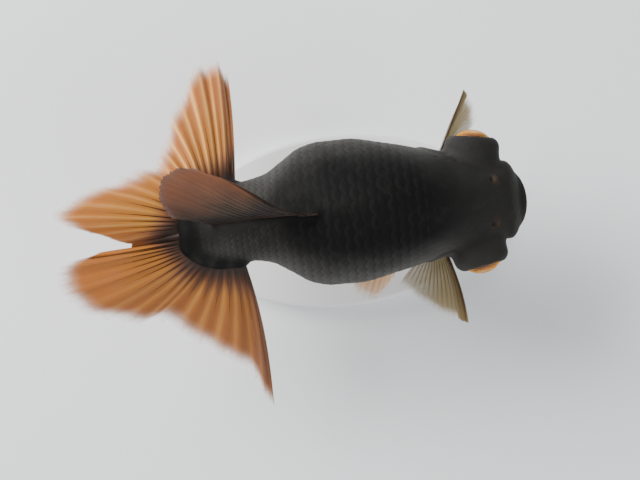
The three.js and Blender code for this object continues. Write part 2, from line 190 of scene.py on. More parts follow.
def body_distance(x, y, z, step=0.1):
    """The level over its own steepness, which is measured one small step along each axis."""
    here = body_level(x, y, z)
    dx = (body_level(x + step, y, z) - here) / step
    dy = (body_level(x, y + step, z) - here) / step
    dz = (body_level(x, y, z + step) - here) / step
    return here / np.maximum(np.sqrt(dx**2 + dy**2 + dz**2), 0.01)


def body_point(back, turn, grow=0.0):
    """A place on the body. The turn runs round the section, from 0 at the left side through the back."""
    top, middle, bottom = heights(back)
    c, s = np.cos(turn), np.sin(turn)
    power = np.where(s >= 0, back_squareness(back), belly_squareness(back))
    reach = (np.abs(c) ** power + np.abs(s) ** power) ** (-1 / power)
    nose = np.clip((back - FACE_BACK) / SNOUT_CAP, 0, 1)
    rump = np.clip((BODY_LENGTH - back) / TAIL_CAP, 0, 1)
    share = np.sqrt(1 - (1 - nose) ** 2) * np.sqrt(1 - (1 - rump) ** 2)
    high = np.where(s >= 0, top - middle, middle - bottom)
    return np.stack([
        -back + 0 * turn,
        mid_line(back) + (half_width(back) + grow) * share * c * reach,
        middle + (high + grow) * share * s * reach,
    ], -1)


MID_TRUNK = 42
print("body depth at mid trunk:", float(back_line(MID_TRUNK) - belly_line(MID_TRUNK)), "mm")

# %% [markdown]
# A fin is a sheet of rays. Each ray leaves a point on the root line, is pulled off the straight line a
# third and two thirds of the way out, and ends on the margin. Three curves and two pulls describe a whole
# fin, so the same few lines make the twin tail, the folded dorsal and the small paired fins. The sheet
# starts inside the body. Measuring the body's distance along each ray finds where it comes out, and from
# there on a share of 0 to 1 runs to the margin.

# %% Fin sheets
EXIT_STEPS = 81  # how finely a fin's root is searched for the line where the sheet leaves the body
SINK = 0.7  # how far under the skin the free part of a ray begins


class Fin:
    """A sheet of rays, on which a runs from 0 at the first ray to 1 at the last, and s out to the margin."""

    def __init__(self, root, margin, near, far, pleats, pleat_depth, rays):
        self.root, self.margin, self.near, self.far = (
            through(*(place(*p) for p in line)) for line in (root, margin, near, far)
        )
        self.pleats, self.pleat_depth, self.rays = pleats, pleat_depth, rays
        self._find_exit()

    def on_ray(self, a, r):
        """A place on the smooth sheet, at a share r of the whole ray."""
        start, end = self.root(a), self.margin(a)
        first = start + (end - start) / 3 + self.near(a)
        second = start + (end - start) * 2 / 3 + self.far(a)
        r = np.asarray(r, float)[..., None]
        q = 1 - r
        return q**3 * start + 3 * q * q * r * first + 3 * q * r * r * second + r**3 * end

    def _find_exit(self):
        """For each ray, the share at which it is still a little under the skin, evened out a little."""
        self.exit_at = np.linspace(0, 1, EXIT_STEPS)
        r = np.linspace(0, 0.8, EXIT_STEPS)
        a, grid = np.meshgrid(self.exit_at, r, indexing="ij")
        inside = body_distance(*np.moveaxis(self.on_ray(a, grid), -1, 0)) < -SINK
        last = np.where(inside.any(1), inside.shape[1] - 1 - np.argmax(inside[:, ::-1], axis=1), 0)
        self.exit_share = np.convolve(np.pad(r[last], 3, mode="edge"), np.ones(7) / 7, "valid")

    def spread(self, a, s):
        """The share of the whole ray for a share s of its free part, which may pass 1 at a ragged margin."""
        start = np.interp(a, self.exit_at, self.exit_share)
        return start + (1 - start) * s

    def normal(self, a, r, step=1e-3):
        across = self.on_ray(np.minimum(a + step, 1), r) - self.on_ray(np.maximum(a - step, 0), r)
        along = self.on_ray(a, np.minimum(r + step, 1)) - self.on_ray(a, np.maximum(r - step, 0))
        n = np.cross(across, along)
        return n / np.maximum(np.linalg.norm(n, axis=-1, keepdims=True), 1e-9)

    def at(self, a, s, lift=0.0):
        """A place on the pleated sheet, lifted off it by some millimetres."""
        r = self.spread(a, s)
        wave = self.pleat_depth * r * np.sin(2 * np.pi * self.pleats * a)
        return self.on_ray(a, r) + self.normal(a, r) * (wave + lift)[..., None]

# %% The fins' lines, the same as the solids'
STILL = [(0, 0, 0), (0, 0, 0)]
PECTORAL_FOLD = dict(pleats=3, pleat_depth=0.25)

fins = {
    "dorsal": Fin(
        root=[(50, 1.6, 22), (59, 1.6, 17), (68, 1.5, 11.4), (76, 1.2, 9.4)],
        margin=[(75.4, 12.4, 33.8), (81, 14.4, 35.4), (86, 13.2, 33), (88.2, 8.4, 27.6), (86.4, 3.8, 19)],
        near=[(2, -6.5, 4), (0, -2.5, 3), (0, 0, 1)],
        far=[(-1, 0.5, 4), (0, 0, 3), (0, 0, 1)],
        pleats=4, pleat_depth=0.35, rays=18,
    ),
    "tail_right": Fin(
        root=[(82.6, -0.6, 8), (83, -2.6, 7), (81, -4.2, 5.6), (77, -5.2, 4.2), (72.2, -5.6, 2.6)],
        margin=[
            (97.7, -1.9, 9.5), (108, -3.1, 13), (115.2, -5, 14), (116, -10, 12.6), (112.8, -15, 10),
            (102.6, -19.9, 4.5), (93.4, -21, -1), (84.2, -28.8, -5.5), (74.2, -35.8, -10),
            (68.6, -46.6, -13.5),
        ],
        near=[(0, 0, -1), (-0.6, -1, 2), (-2.7, 0.5, 4)],
        far=[(0, 0, -1), (-0.6, -1, 2.5), (-1.8, 0.5, 3)],
        pleats=8, pleat_depth=0.7, rays=20,
    ),
    "tail_left": Fin(
        root=[(82.6, 0.6, 8), (83, 3.4, 7), (81.4, 5.6, 5.6), (77.4, 7.4, 4.2), (72.2, 8, 2.6)],
        margin=[
            (97.7, -1.2, 9.5), (105.5, 1.8, 13.5), (115.4, 7.2, 17.5), (106.3, 13, 11.5), (96, 16.6, 4.5),
            (91.2, 19, 0), (88.6, 25.4, -3), (84.5, 34.4, -6.5), (79, 43, -10.5), (74.4, 43.8, -11.5),
            (71.7, 40.4, -11),
        ],
        near=[(0, 0, -1), (-1, 1, 2), (-1, 0, 3)],
        far=[(0, 0, -1), (-1, 1, 2.5), (-1.2, 0, 3)],
        pleats=8, pleat_depth=0.7, rays=20,
    ),
    "pectoral_right": Fin(
        root=[(21.3, -9.5, -7.5), (24.6, -10.4, -11.5)],
        margin=[(16.3, -30.3, -12), (21.2, -28, -15.5), (27.2, -23.8, -18), (32.8, -18.8, -18.6)],
        near=[(-1.4, 0, 1.5), (0, 0, 1), (1, 0, 0)],
        far=[(-1.4, 0, 1), (0, 0, 1), (1, 0, 0)],
        rays=14, **PECTORAL_FOLD,
    ),
    "pectoral_left": Fin(
        root=[(20.8, 11, -7.5), (21.8, 11, -12)],
        margin=[(11.6, 29.9, -9.5), (9.2, 27, -14), (8.2, 23, -18), (9.4, 18.6, -20.5)],
        near=[(0.6, 0, 1.5), (1, 0.5, 0), (1, 1, -1)],
        far=[(0.3, 0, 1), (1, 0.5, 0), (1, 1, -1)],
        rays=14, **PECTORAL_FOLD,
    ),
    "pelvic_right": Fin(
        root=[(31.4, -5.5, -17.5), (35, -4.5, -18)],
        margin=[(33.6, -17.2, -28.6), (38.6, -22.4, -29.6), (43.4, -20.8, -29.8), (46.4, -16, -29)],
        near=[(-1, 0, 1), (0, -1, 1), (1, 0, 0)],
        far=STILL, rays=9, **PECTORAL_FOLD,
    ),
    "pelvic_left": Fin(
        root=[(31.4, 8, -17.5), (35, 7, -18)],
        margin=[(37.6, 15.6, -31), (42.4, 17.6, -32), (46.6, 15.6, -31.4), (48, 11.6, -29.4)],
        near=[(-1, 0, 1), (0, 1, 1), (1, 0, 0)],
        far=STILL, rays=9, **PECTORAL_FOLD,
    ),
    "anal_right": Fin(
        root=[(64.4, -1.4, -5), (69.6, -2.2, -1.6)],
        margin=[(76.4, -6.4, -21), (80.4, -6.6, -17.4), (82, -6, -12.6), (79.6, -5, -7.6)],
        near=[(-1.5, 0, -1), (0, 0, 0), (0, 0, 0)],
        far=STILL, rays=8, **PECTORAL_FOLD,
    ),
    "anal_left": Fin(
        root=[(64.4, 4.6, -5), (69.6, 5, -1.6)],
        margin=[(76.8, 8.6, -20.4), (80.6, 8.8, -17), (82, 8.2, -12.4), (79.6, 7.4, -7.6)],
        near=[(-1.5, 0, -1), (0, 0, 0), (0, 0, 0)],
        far=STILL, rays=8, **PECTORAL_FOLD,
    ),
}
for name, fin in fins.items():
    print(name, "leaves the body at", fin.exit_share[[0, EXIT_STEPS // 2, -1]].round(2), "of its rays")

# The two halves of the tail are joined along the middle, as far as the notch between them.
seam = Fin(
    root=[(82.6, -2.4, 7.8), (82.6, 0, 8.9), (82.6, 2.4, 7.8)],
    margin=[(97.3, -2.8, 9.4), (98.1, -1.5, 10), (97.3, -0.3, 9.4)],
    near=[(0, 0, -1), (0, 0, -1)], far=[(0, 0, -1), (0, 0, -1)], pleats=1, pleat_depth=0, rays=1,
)

# %% [markdown]
# The skin has to be one closed surface that flows from the body into the eye turrets, the lips and the
# fin roots with no seam. Joining meshes leaves hard creases, so each form is written as a distance
# instead, and a smooth minimum blends them like modelling wax. The field is worked out on a grid of cells
# under half a millimetre wide, and each small form only touches the part of the grid round itself.

# %% Blending forms in a field
CELL = 0.42
COAT_DEPTH = 0.3  # the skin lies this far inside the solids, to leave room for the scales

field_low = place(BODY_LENGTH + 3, -19.5, -24.5)
field_high = place(-1.5, 21.5, 28.5)
axes_x, axes_y, axes_z = (np.arange(low, high, CELL) for low, high in zip(field_low, field_high))
field = body_distance(axes_x[:, None, None], axes_y[None, :, None], axes_z[None, None, :]) + COAT_DEPTH
print("field of", field.size, "cells")


def blend(a, b, soft):
    """The smooth minimum of two distances: their union, with a fillet as wide as soft."""
    overlap = np.maximum(soft - np.abs(a - b), 0)
    return np.minimum(a, b) - overlap**2 / (4 * soft)


def carve(a, b, soft):
    """The first distance with the second form cut out of it, and the cut's edge rounded."""
    return -blend(-a, b, soft)


def near(low, high, margin=3.0):
    """The part of the grid round a box, as slices, with the places in it."""
    parts = []
    for axis, lo, hi in zip((axes_x, axes_y, axes_z), low, high):
        start, stop = np.searchsorted(axis, (lo - margin, hi + margin))
        parts.append(slice(start, stop))
    places = np.meshgrid(axes_x[parts[0]], axes_y[parts[1]], axes_z[parts[2]], indexing="ij")
    return tuple(parts), places


def tube_distance(places, path, radii):
    """The distance to a bent tube whose radius changes along its path."""
    spot = np.stack(places, -1)
    best = np.full(spot.shape[:-1], 1e3)
    for a, b, ra, rb in zip(path[:-1], path[1:], radii[:-1], radii[1:]):
        ab = b - a
        t = np.clip(((spot - a) @ ab) / max(ab @ ab, 1e-9), 0, 1)
        radius = ra + t * (rb - ra)
        best = np.minimum(best, np.linalg.norm(spot - a - t[..., None] * ab, axis=-1) - radius)
    return best


def add_tube(path, radii, soft):
    radii = np.broadcast_to(radii, len(path))
    part, places = near(path.min(0) - radii.max(), path.max(0) + radii.max(), soft + 1)
    field[part] = blend(field[part], tube_distance(places, path, radii), soft)


def ball_distance(places, centre, size):
    """Roughly the distance to an ellipsoid."""
    spot = (np.stack(places, -1) - centre) / size
    return (np.linalg.norm(spot, axis=-1) - 1) * min(size)

# %% [markdown]
# A telescope goldfish carries its eyes at the ends of stout turrets. Each turret is a rounded drum that
# swells slightly before its rim. The eyeball's own ball, a touch larger, is carved out of its end so that
# the rim of skin closes round the eye without cutting through it.

# %% Eye turrets
EYE_RADIUS = 5.7
SOCKET_GAP, SOCKET_DEPTH = 0.05, 1.5
TURRET_TOP, TURRET_ROUND, TURRET_ROOT = 4.25, 2.6, -9
TURRET_ALONG = TURRET_ROOT, -4, -1, 1.2  # places along the eye's axis, from its centre
TURRET_RADII = 5.7, 6.2, 6.9, 6.8
TURRET_FILLET, RIM_FILLET = 2.0, 0.6

eyes = {
    "left": (place(12.8, 12.6, 4), np.array([0.15, 1, 0.08])),
    "right": (place(13.3, -11.4, 4), np.array([0.18, -1, 0.08])),
}
eyes = {side: (centre, axis / np.linalg.norm(axis)) for side, (centre, axis) in eyes.items()}

for centre, axis in eyes.values():
    part, places = near(centre - 8, centre + 8)
    spot = np.stack(places, -1) - centre
    along = spot @ axis
    out = np.sqrt(np.maximum((spot**2).sum(-1) - along**2, 0))
    wide = out - (np.interp(along, TURRET_ALONG, TURRET_RADII) - TURRET_ROUND)
    tall = along - (TURRET_TOP - TURRET_ROUND)
    drum = np.hypot(np.maximum(wide, 0), np.maximum(tall, 0)) + np.minimum(np.maximum(wide, tall), 0)
    drum = np.maximum(drum - TURRET_ROUND, TURRET_ROOT - along)
    field[part] = blend(field[part], drum, TURRET_FILLET)
    socket = np.maximum(np.sqrt((spot**2).sum(-1)) - EYE_RADIUS - SOCKET_GAP, -SOCKET_DEPTH - along)
    field[part] = carve(field[part], socket, RIM_FILLET)

# %% [markdown]
# The mouth is small, at the very front, and slightly upturned. Two rolls of flesh make the lips, and a
# thin lens carved between them makes the opening. The two openings of each nostril are pits beside a
# small upright fold.

# %% Lips, mouth and nostrils
def lip_path(corner, crown, roll, steps=14):
    """A lip's line, bowed from its corners to its crown, and the radii of its roll of flesh."""
    swing = np.linspace(-1, 1, steps + 1)
    bulge = 1 - swing**2
    path = np.stack([
        -(corner[0] + (crown[0] - corner[0]) * bulge),
        mid_line(0) + corner[1] * swing,
        corner[2] + (crown[1] - corner[2]) * bulge,
    ], -1)
    return path, roll * (0.45 + 0.55 * np.sqrt(bulge))


add_tube(*lip_path(corner=(2.1, 5.2, -1.4), crown=(1.25, 1.15), roll=1.15), soft=2.6)
add_tube(*lip_path(corner=(2.3, 4.7, -3.6), crown=(1.45, -1.75), roll=1.05), soft=0.6)

MOUTH_CENTRE, MOUTH_SIZE = place(0.9, mid_line(0), -0.45), np.array([2.6, 3.4, 0.5])
MOUTH_SAG = 0.09  # how much the corners hang below the middle
part, places = near(MOUTH_CENTRE - 4, MOUTH_CENTRE + 4)
places[2] = places[2] + MOUTH_SAG * (places[1] - mid_line(0)) ** 2
field[part] = carve(field[part], ball_distance(places, MOUTH_CENTRE, MOUTH_SIZE), 0.5)

NOSTRIL_PITS = (place(-1.05, 0, 0.35), 0.52), (place(1.05, 0, 0.2), 0.48)
NOSTRIL_FLAP = np.array([0.45, 0.95, 0.5])
nostrils = [body_point(8.5, 1.1), body_point(9.2, math.pi - 0.98)]
for flap in nostrils:
    part, places = near(flap - 3, flap + 3)
    for pit, size in NOSTRIL_PITS:
        field[part] = carve(field[part], ball_distance(places, flap + pit, np.full(3, size)), 0.35)
    field[part] = blend(field[part], ball_distance(places, flap, NOSTRIL_FLAP), 0.5)

# %% [markdown]
# Where a fin leaves the body, muscle swells round the ends of its rays. A tube is laid along each root
# line, just where the sheet comes out of the skin, and blended in with a wide fillet. It is thickest
# under the tail.

# %% Fin roots
ROOT_SWELLING = {"dorsal": 0.75, "tail_right": 1.7, "tail_left": 1.7}
SMALL_FIN_SWELLING = 1.0
SEAM_SWELLING = 1.5

a = np.linspace(0.03, 0.97, 16)
for name, fin in fins.items():
    girth = ROOT_SWELLING.get(name, SMALL_FIN_SWELLING)
    add_tube(fin.at(a, np.full_like(a, 0.03)), girth * (0.75 + 0.25 * np.sin(np.pi * a)), soft=2.2)
add_tube(seam.at(np.linspace(0, 1, 6), np.full(6, 0.1)), np.full(6, SEAM_SWELLING), soft=3.0)

# %% [markdown]
# The gill cover is a thin plate with a free rear edge. It is easier to lift than to build: in the two
# measures of the section, how far back and how far round, its outline is an ellipse, so its share of that
# ellipse says how much to lift the skin, with a sharp step down at the rear edge and a groove behind it.
# A shallower ridge inside it is the cheek's edge. A very low swell over the whole body keeps it from
# looking turned on a lathe.

# %% Gill covers and low relief
COVER_BACK, COVER_TURN = 20.2, -0.42
COVER_LENGTH, COVER_HEIGHT = 6.4, 0.78
COVER_LIFT, CHEEK_LIFT, GROOVE_DEPTH, SPOKE_LIFT = 0.5, 0.24, 0.3, 0.035
THROAT_FOLD, BODY_SWELL = 0.42, 0.06

part, (x, y, z) = near(place(32, -18, -24), place(8, 20, 24), 0)
across, above = section(x, y, z)
turn = np.arctan2(above, np.abs(across))
behind, round_it = (-x - COVER_BACK) / COVER_LENGTH, (turn - COVER_TURN) / COVER_HEIGHT
share = np.hypot(behind, round_it)
rear = smoothstep(-0.5, 0.35, behind / np.maximum(share, 1e-3))
plate = (1 - smoothstep(0.985, 1.04, share)) * smoothstep(0.25, 0.95, share) * COVER_LIFT
cheek = (1 - smoothstep(0.5, 0.6, share)) * smoothstep(0.1, 0.48, share) * CHEEK_LIFT
groove = np.exp(-((share - 1.07) / 0.04) ** 2) * GROOVE_DEPTH
spokes = np.sin(11 * np.arctan2(round_it, behind)) * smoothstep(0.6, 0.8, share) * SPOKE_LIFT
field[part] -= rear * (plate * (1 + spokes) + cheek - groove)

sweep = np.linspace(0, 1, 14)
throat = -0.98 - 0.42 * sweep
radii = THROAT_FOLD * np.sin(np.pi * (0.12 + 0.8 * sweep))
for turn in (throat, np.pi - throat):  # the folds under the throat, where the gill covers meet the chest
    fold = body_point(25.5 - 16 * sweep, turn)
    part, places = near(fold.min(0), fold.max(0), 1)
    field[part] = carve(field[part], tube_distance(places, fold, radii), 0.6)

swell = (
    np.sin(axes_x * 0.41 + 0.6)[:, None, None] * np.sin(axes_z * 0.36)[None, None, :]
    + np.sin(axes_x * 0.23)[:, None, None] * np.sin(axes_y * 0.5 + 1.1)[None, :, None]
)
field -= BODY_SWELL * swell

# %% [markdown]
# Fish feel pressure through canals under the skin, which open as rows of fine pores. One row runs round
# the eye from below, and a short one runs back from it, high on the head.

# %% Pores
UNDER_EYE = [
    (8.6, -0.05), (8.2, -0.3), (9.4, -0.55), (11.4, -0.72), (13.6, -0.8), (15.6, -0.72), (16.6, -0.5),
]
BEHIND_EYE = [(17.4, 0.62), (20.0, 0.66), (22.6, 0.60)]
PORE_RADIUS = 0.38

for back, turn in UNDER_EYE + BEHIND_EYE:
    for angle in (turn, np.pi - turn):
        pore = body_point(back, angle, -COAT_DEPTH)
        part, places = near(pore, pore, 1.5)
        field[part] = carve(field[part], ball_distance(places, pore, np.full(3, PORE_RADIUS)), 0.3)

# %% [markdown]
# A surface net turns the field into a mesh. Every cell that the surface crosses gets one point, at the
# mean of the crossings on its edges, and every grid edge that the surface crosses gives one face between
# the four cells round it. The points are then relaxed a little and pulled back onto the surface along the
# field's slope, which removes the terraces that a grid leaves.

# %% The surface net
def surface_net(values):
    """The points, in cells, and the four-sided faces of the surface where a grid of values is nought."""
    inside = values < 0
    cells = [slice(0, -1), slice(1, None)]
    corners = [(i, j, k) for i in (0, 1) for j in (0, 1) for k in (0, 1)]
    count = sum(inside[cells[i], cells[j], cells[k]].astype(np.int8) for i, j, k in corners)
    cell = np.argwhere((count > 0) & (count < 8))
    number = np.full(count.shape, -1)
    number[tuple(cell.T)] = np.arange(len(cell))
    total, crossings = np.zeros((len(cell), 3)), np.zeros(len(cell))
    for corner in corners:
        for axis in range(3):
            if corner[axis]:
                continue
            end = list(corner)
            end[axis] = 1
            va = values[tuple((cell + corner).T)]
            vb = values[tuple((cell + end).T)]
            crossed = (va < 0) != (vb < 0)
            t = np.where(crossed, va / np.where(crossed, va - vb, 1), 0)
            spot = cell + corner + t[:, None] * (np.array(end) - corner)
            total += spot * crossed[:, None]
            crossings += crossed
    faces = []
    for axis in range(3):
        u, v = (axis + 1) % 3, (axis + 2) % 3
        first, second = [slice(None)] * 3, [slice(None)] * 3
        first[axis], second[axis] = slice(0, -1), slice(1, None)
        a, b = inside[tuple(first)], inside[tuple(second)]
        for flip, crossed in ((False, a & ~b), (True, ~a & b)):
            edge = np.argwhere(crossed)
            ring = []
            for du, dv in ((-1, -1), (0, -1), (0, 0), (-1, 0)):
                spot = edge.copy()
                spot[:, u] += du
                spot[:, v] += dv
                ring.append(number[tuple(spot.T)])
            ring = np.stack(ring, -1)
            faces.append(ring[:, ::-1] if flip else ring)
    return total / crossings[:, None], np.concatenate(faces)


def sample(grid, spots):
    """The grid's value at places given in cells, straight between its nodes."""
    low = np.clip(spots.astype(int), 0, np.array(grid.shape) - 2)
    t = spots - low
    value = 0
    for i in (0, 1):
        for j in (0, 1):
            for k in (0, 1):
                weight = (t[:, 0] if i else 1 - t[:, 0]) * (t[:, 1] if j else 1 - t[:, 1])
                weight = weight * (t[:, 2] if k else 1 - t[:, 2])
                value = value + weight * grid[low[:, 0] + i, low[:, 1] + j, low[:, 2] + k]
    return value


def relax(spots, faces, values, rounds=5):
    """Evens out the net's points, and after each round pulls them back to where the field is nought."""
    slopes = np.gradient(values)
    pairs = np.concatenate([faces[:, [i, (i + 1) % 4]] for i in range(4)])
    degree = np.bincount(pairs.ravel(), minlength=len(spots))[:, None]
    for _ in range(rounds):
        mean = np.zeros_like(spots)
        for axis in range(3):
            mean[:, axis] = (
                np.bincount(pairs[:, 0], spots[pairs[:, 1], axis], len(spots))
                + np.bincount(pairs[:, 1], spots[pairs[:, 0], axis], len(spots))
            )
        spots = 0.5 * spots + 0.5 * mean / degree
        for _ in range(2):
            slope = np.stack([sample(g, spots) for g in slopes], -1)
            steep = np.maximum((slope**2).sum(-1), 0.02)
            pull = np.clip(sample(values, spots) / steep, -1, 1)[:, None] * slope
            spots = spots - np.clip(pull, -0.3, 0.3)
    return spots


def show(name, data):
    """A new object in the scene for a mesh, a camera or a lamp."""
    obj = bpy.data.objects.new(name, data)
    bpy.context.collection.objects.link(obj)
    return obj


def add_object(name, spots, faces):
    """A smoothly shaded object for places in the fish's space."""
    mesh = bpy.data.meshes.new(name)
    mesh.from_pydata(metres(spots).tolist(), [], faces)
    mesh.shade_smooth()
    return show(name, mesh)


cell_spots, skin_faces = surface_net(field)
cell_spots = relax(cell_spots, skin_faces, field)
skin = add_object("skin", cell_spots * CELL + field_low, skin_faces.tolist())
print("skin:", len(skin_faces), "faces")

# %% [markdown]
# Shader maths reads best as plain expressions. A Wire wraps one socket, and adding or multiplying wires
# adds the Math node that does it. Colours and vectors would turn grey in a Math node, so they go through
# Mix and Vector Math. The same two small classes build the Geometry Nodes trees further down.

# %% Node trees as expressions
class Wire:
    """One output of a node."""

    def __init__(self, tree, socket):
        self.tree, self.socket = tree, socket

    def maths(self, operation, *others):
        return self.tree.maths(operation, self, *others)

    def __add__(self, other):
        return self.maths("ADD", other)

    def __sub__(self, other):
        return self.maths("SUBTRACT", other)

    def __rsub__(self, other):
        return self.tree.maths("SUBTRACT", other, self)

    def __mul__(self, other):
        return self.maths("MULTIPLY", other)

    def __truediv__(self, other):
        return self.maths("DIVIDE", other)

    __radd__, __rmul__ = __add__, __mul__


class Tree:
    """A node tree that is built node by node."""

    def __init__(self, node_tree):
        self.nodes, self.links = node_tree.nodes, node_tree.links

    def node(self, kind, settings=None, inputs=(), output=0):
        """A wire from a new node, whose inputs are wires or plain values, by name or in order."""
        made = self.nodes.new(kind)
        for name, value in (settings or {}).items():
            if name == "stops":
                ramp = made.color_ramp
                while len(ramp.elements) < len(value):
                    ramp.elements.new(0.5)
                for element, (position, colour) in zip(ramp.elements, value):
                    element.position = position
                    element.color = (*colour, 1)
            else:
                setattr(made, name, value)
        for key, value in inputs.items() if isinstance(inputs, dict) else enumerate(inputs):
            if isinstance(value, Wire):
                self.links.new(value.socket, made.inputs[key])
            elif value is not None:
                made.inputs[key].default_value = value
        return Wire(self, made.outputs[output])

    def maths(self, operation, *values):
        return self.node("ShaderNodeMath", {"operation": operation}, values)

    def vector(self, operation, *values, output=0):
        return self.node("ShaderNodeVectorMath", {"operation": operation}, values, output)

    def spot(self):
        """The place that is shaded, in the object's own space."""
        return self.node("ShaderNodeTexCoord", output="Object")

    def parts(self, vector):
        """The three numbers of a vector."""
        apart = self.node("ShaderNodeSeparateXYZ", None, [vector])
        return [Wire(self, socket) for socket in apart.socket.node.outputs]

    def reach(self, spot, centre):
        """How far the place that is shaded is from a place on the fish, in millimetres."""
        return self.vector("DISTANCE", spot, tuple(metres(centre)), output=1) / MM

    def mix(self, factor, a, b):
        """A mix of two colours."""
        a, b = ((*c, 1) if isinstance(c, tuple) and len(c) == 3 else c for c in (a, b))
        return self.node("ShaderNodeMix", {"data_type": "RGBA"}, {0: factor, 6: a, 7: b}, 2)

    def step(self, value, low, high):
        """0 below low, 1 above high, and eased between them."""
        inputs = {"Value": value, "From Min": low, "From Max": high}
        return self.node("ShaderNodeMapRange", {"interpolation_type": "SMOOTHSTEP"}, inputs)

    def noise(self, vector, scale, detail=2.0, roughness=0.5):
        inputs = {"Vector": vector, "Scale": scale, "Detail": detail, "Roughness": roughness}
        return self.node("ShaderNodeTexNoise", None, inputs)

    def bump(self, height, distance, strength=1.0, normal=None):
        inputs = {"Strength": strength, "Distance": distance, "Height": height, "Normal": normal}
        return self.node("ShaderNodeBump", None, inputs)


def finish(name, make):
    """A material whose Principled shader gets what make(tree) returns for its sockets."""
    material = bpy.data.materials.new(name)
    material.use_nodes = True
    tree = Tree(material.node_tree)
    shader = tree.nodes["Principled BSDF"]
    for socket, value in make(tree).items():
        if isinstance(value, Wire):
            tree.links.new(value.socket, shader.inputs[socket])
        else:
            shader.inputs[socket].default_value = value
    return material

# %% [markdown]
# The fish is black along the back and round the root of the tail, charcoal on the sides and a dusky brassy
# grey under the belly. The charcoal of the sides is partly the fish's own and partly painted light for the
# light the flanks catch, and it reaches a little higher on the fish's right as a painted fill light there.
# The head is a paler black, painted light that evens out the lamp, which lights the back more than the head.
# The snout is darker and a little browner, a painted shade that holds back the light its steep front catches
# from the floor, and it is browner still round the nostrils. Skin and scales have to agree, so one function
# gives the ground colour of a place on the fish, and both materials start from it.

# %% The fish's markings
BLACK = (0.0066, 0.0064, 0.0063)
# painted light: the head's paler black evens out the lamp, which lights the back more than the head
HEAD_PAINTED_LIGHT = (0.0190, 0.0184, 0.0176)
# the flanks' charcoal is partly the fish's own and partly painted light for the light the flanks catch
CHARCOAL = (0.0620, 0.0590, 0.0550)
BELLY_GREY = (0.105, 0.097, 0.078)
# painted shade: the snout's darker, slightly brown tone holds back the light its steep front catches from the
# floor
SNOUT_PAINTED_SHADE = (0.0175, 0.0164, 0.0146)
NOSTRIL_BROWN = (0.055, 0.034, 0.023)

FINE_GRAIN = 1500.0, 3.0, 0.6  # a noise's scale in each metre, its detail and its roughness
CREASE_DEPTH, GRAIN_DEPTH = 0.4, 0.1
BLOTCH_SCALE, BLOTCH_REACH = 90.0, 12  # how fine the blotches are, and how ragged the edges they make
# the second number is a painted fill light: how many millimetres higher the charcoal reaches on the fish's
# right
BLACK_LOWER_AT_STEM, PAINTED_FILL_RIGHT = 2, 4
NOSTRIL_REACH = 2.6
ROOT_REACH = 1.5, 6.5  # how far from a tail fin's root the black fades out

back_top, belly_low = float(back_line(40)), float(belly_line(44))


def markings(tree):
    """The shaded place, and its ground colour, which holds some painted light and shade."""
    spot = tree.spot()
    back, left, up = (
        (part / MM - start) * sign for part, start, sign in zip(tree.parts(spot), fish_origin, (-1, 1, 1))
    )
    ragged = up + (tree.noise(spot, BLOTCH_SCALE, 3.0) - 0.5) * BLOTCH_REACH
    stem_shift = tree.step(back, 60, 80) * BLACK_LOWER_AT_STEM
    # painted fill light: the charcoal reaches higher on the fish's right, which the lamp lights less
    painted_fill_right_shift = (1 - tree.step(left, -16, -2)) * PAINTED_FILL_RIGHT
    # the charcoal of the flanks: partly the fish's own, partly painted light
    flank_tone_and_light = 1 - tree.step(ragged + stem_shift - painted_fill_right_shift, 1, back_top - 5)
    belly = 1 - tree.step(ragged, belly_low + 1, -5)
    head, snout = (1 - tree.step(back, start, stop) for start, stop in ((12, 28), (3, 12)))
    colour = tree.mix(flank_tone_and_light, BLACK, CHARCOAL)
    colour = tree.mix(belly, colour, BELLY_GREY)
    # painted light: the head is made a paler black to even out the lamp
    colour = tree.mix(head * 0.8, colour, HEAD_PAINTED_LIGHT)
    # painted shade: the snout is darkened against the light its steep front catches from the floor
    colour = tree.mix(snout * 0.85, colour, SNOUT_PAINTED_SHADE)
    for flap in nostrils:
        near_flap = 1 - tree.step(tree.reach(spot, flap), 0.0, NOSTRIL_REACH)
        colour = tree.mix(near_flap * 0.55, colour, NOSTRIL_BROWN)
    near_tail = tree.step(back, BODY_LENGTH - 11, BODY_LENGTH - 1)
    for fin in (fins["tail_left"], fins["tail_right"]):
        for root in fin.at(np.linspace(0.08, 0.92, 6), np.zeros(6)):
            near_tail = near_tail.maths("MAXIMUM", 1 - tree.step(tree.reach(spot, root), *ROOT_REACH))
    return spot, tree.mix(near_tail * 0.95, colour, BLACK)


def make_skin(tree):
    spot, colour = markings(tree)
    grain = tree.noise(spot, *FINE_GRAIN)
    creases = tree.noise(spot, 420.0, 4.0, 0.6)
    mottle = tree.step(tree.noise(spot, 230.0, 4.0, 0.65), 0.5, 0.72)
    relief = tree.bump(creases, CREASE_DEPTH * MM, 0.5)
    return {
        "Base Color": tree.mix(mottle * 0.1, colour, CHARCOAL),
        "Roughness": 0.5 + creases * 0.2,
        "Normal": tree.bump(grain, GRAIN_DEPTH * MM, 0.5, relief),
        "Specular IOR Level": 0.035,
    }


skin.data.materials.append(finish("black_skin", make_skin))
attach(skin, "root")
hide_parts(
    "head", "trunk", "caudal_peduncle", "upper_lip", "lower_lip", "nostril_left", "nostril_right",
    "eye_turret_left", "eye_turret_right", "gill_cover_left", "gill_cover_right",
)

# %% [markdown]
# A scale is a thin horny plate, rooted in a pocket of skin at its front and free at its rounded rear
# edge, where it overlaps the next row. Rows run round the body and are set half a scale apart, like roof
# tiles. Geometry Nodes places one small plate on each root point, turned to the skin's normal and the lie
# of the scales, which keeps the plate's shape and the pattern apart so that either can be changed alone.

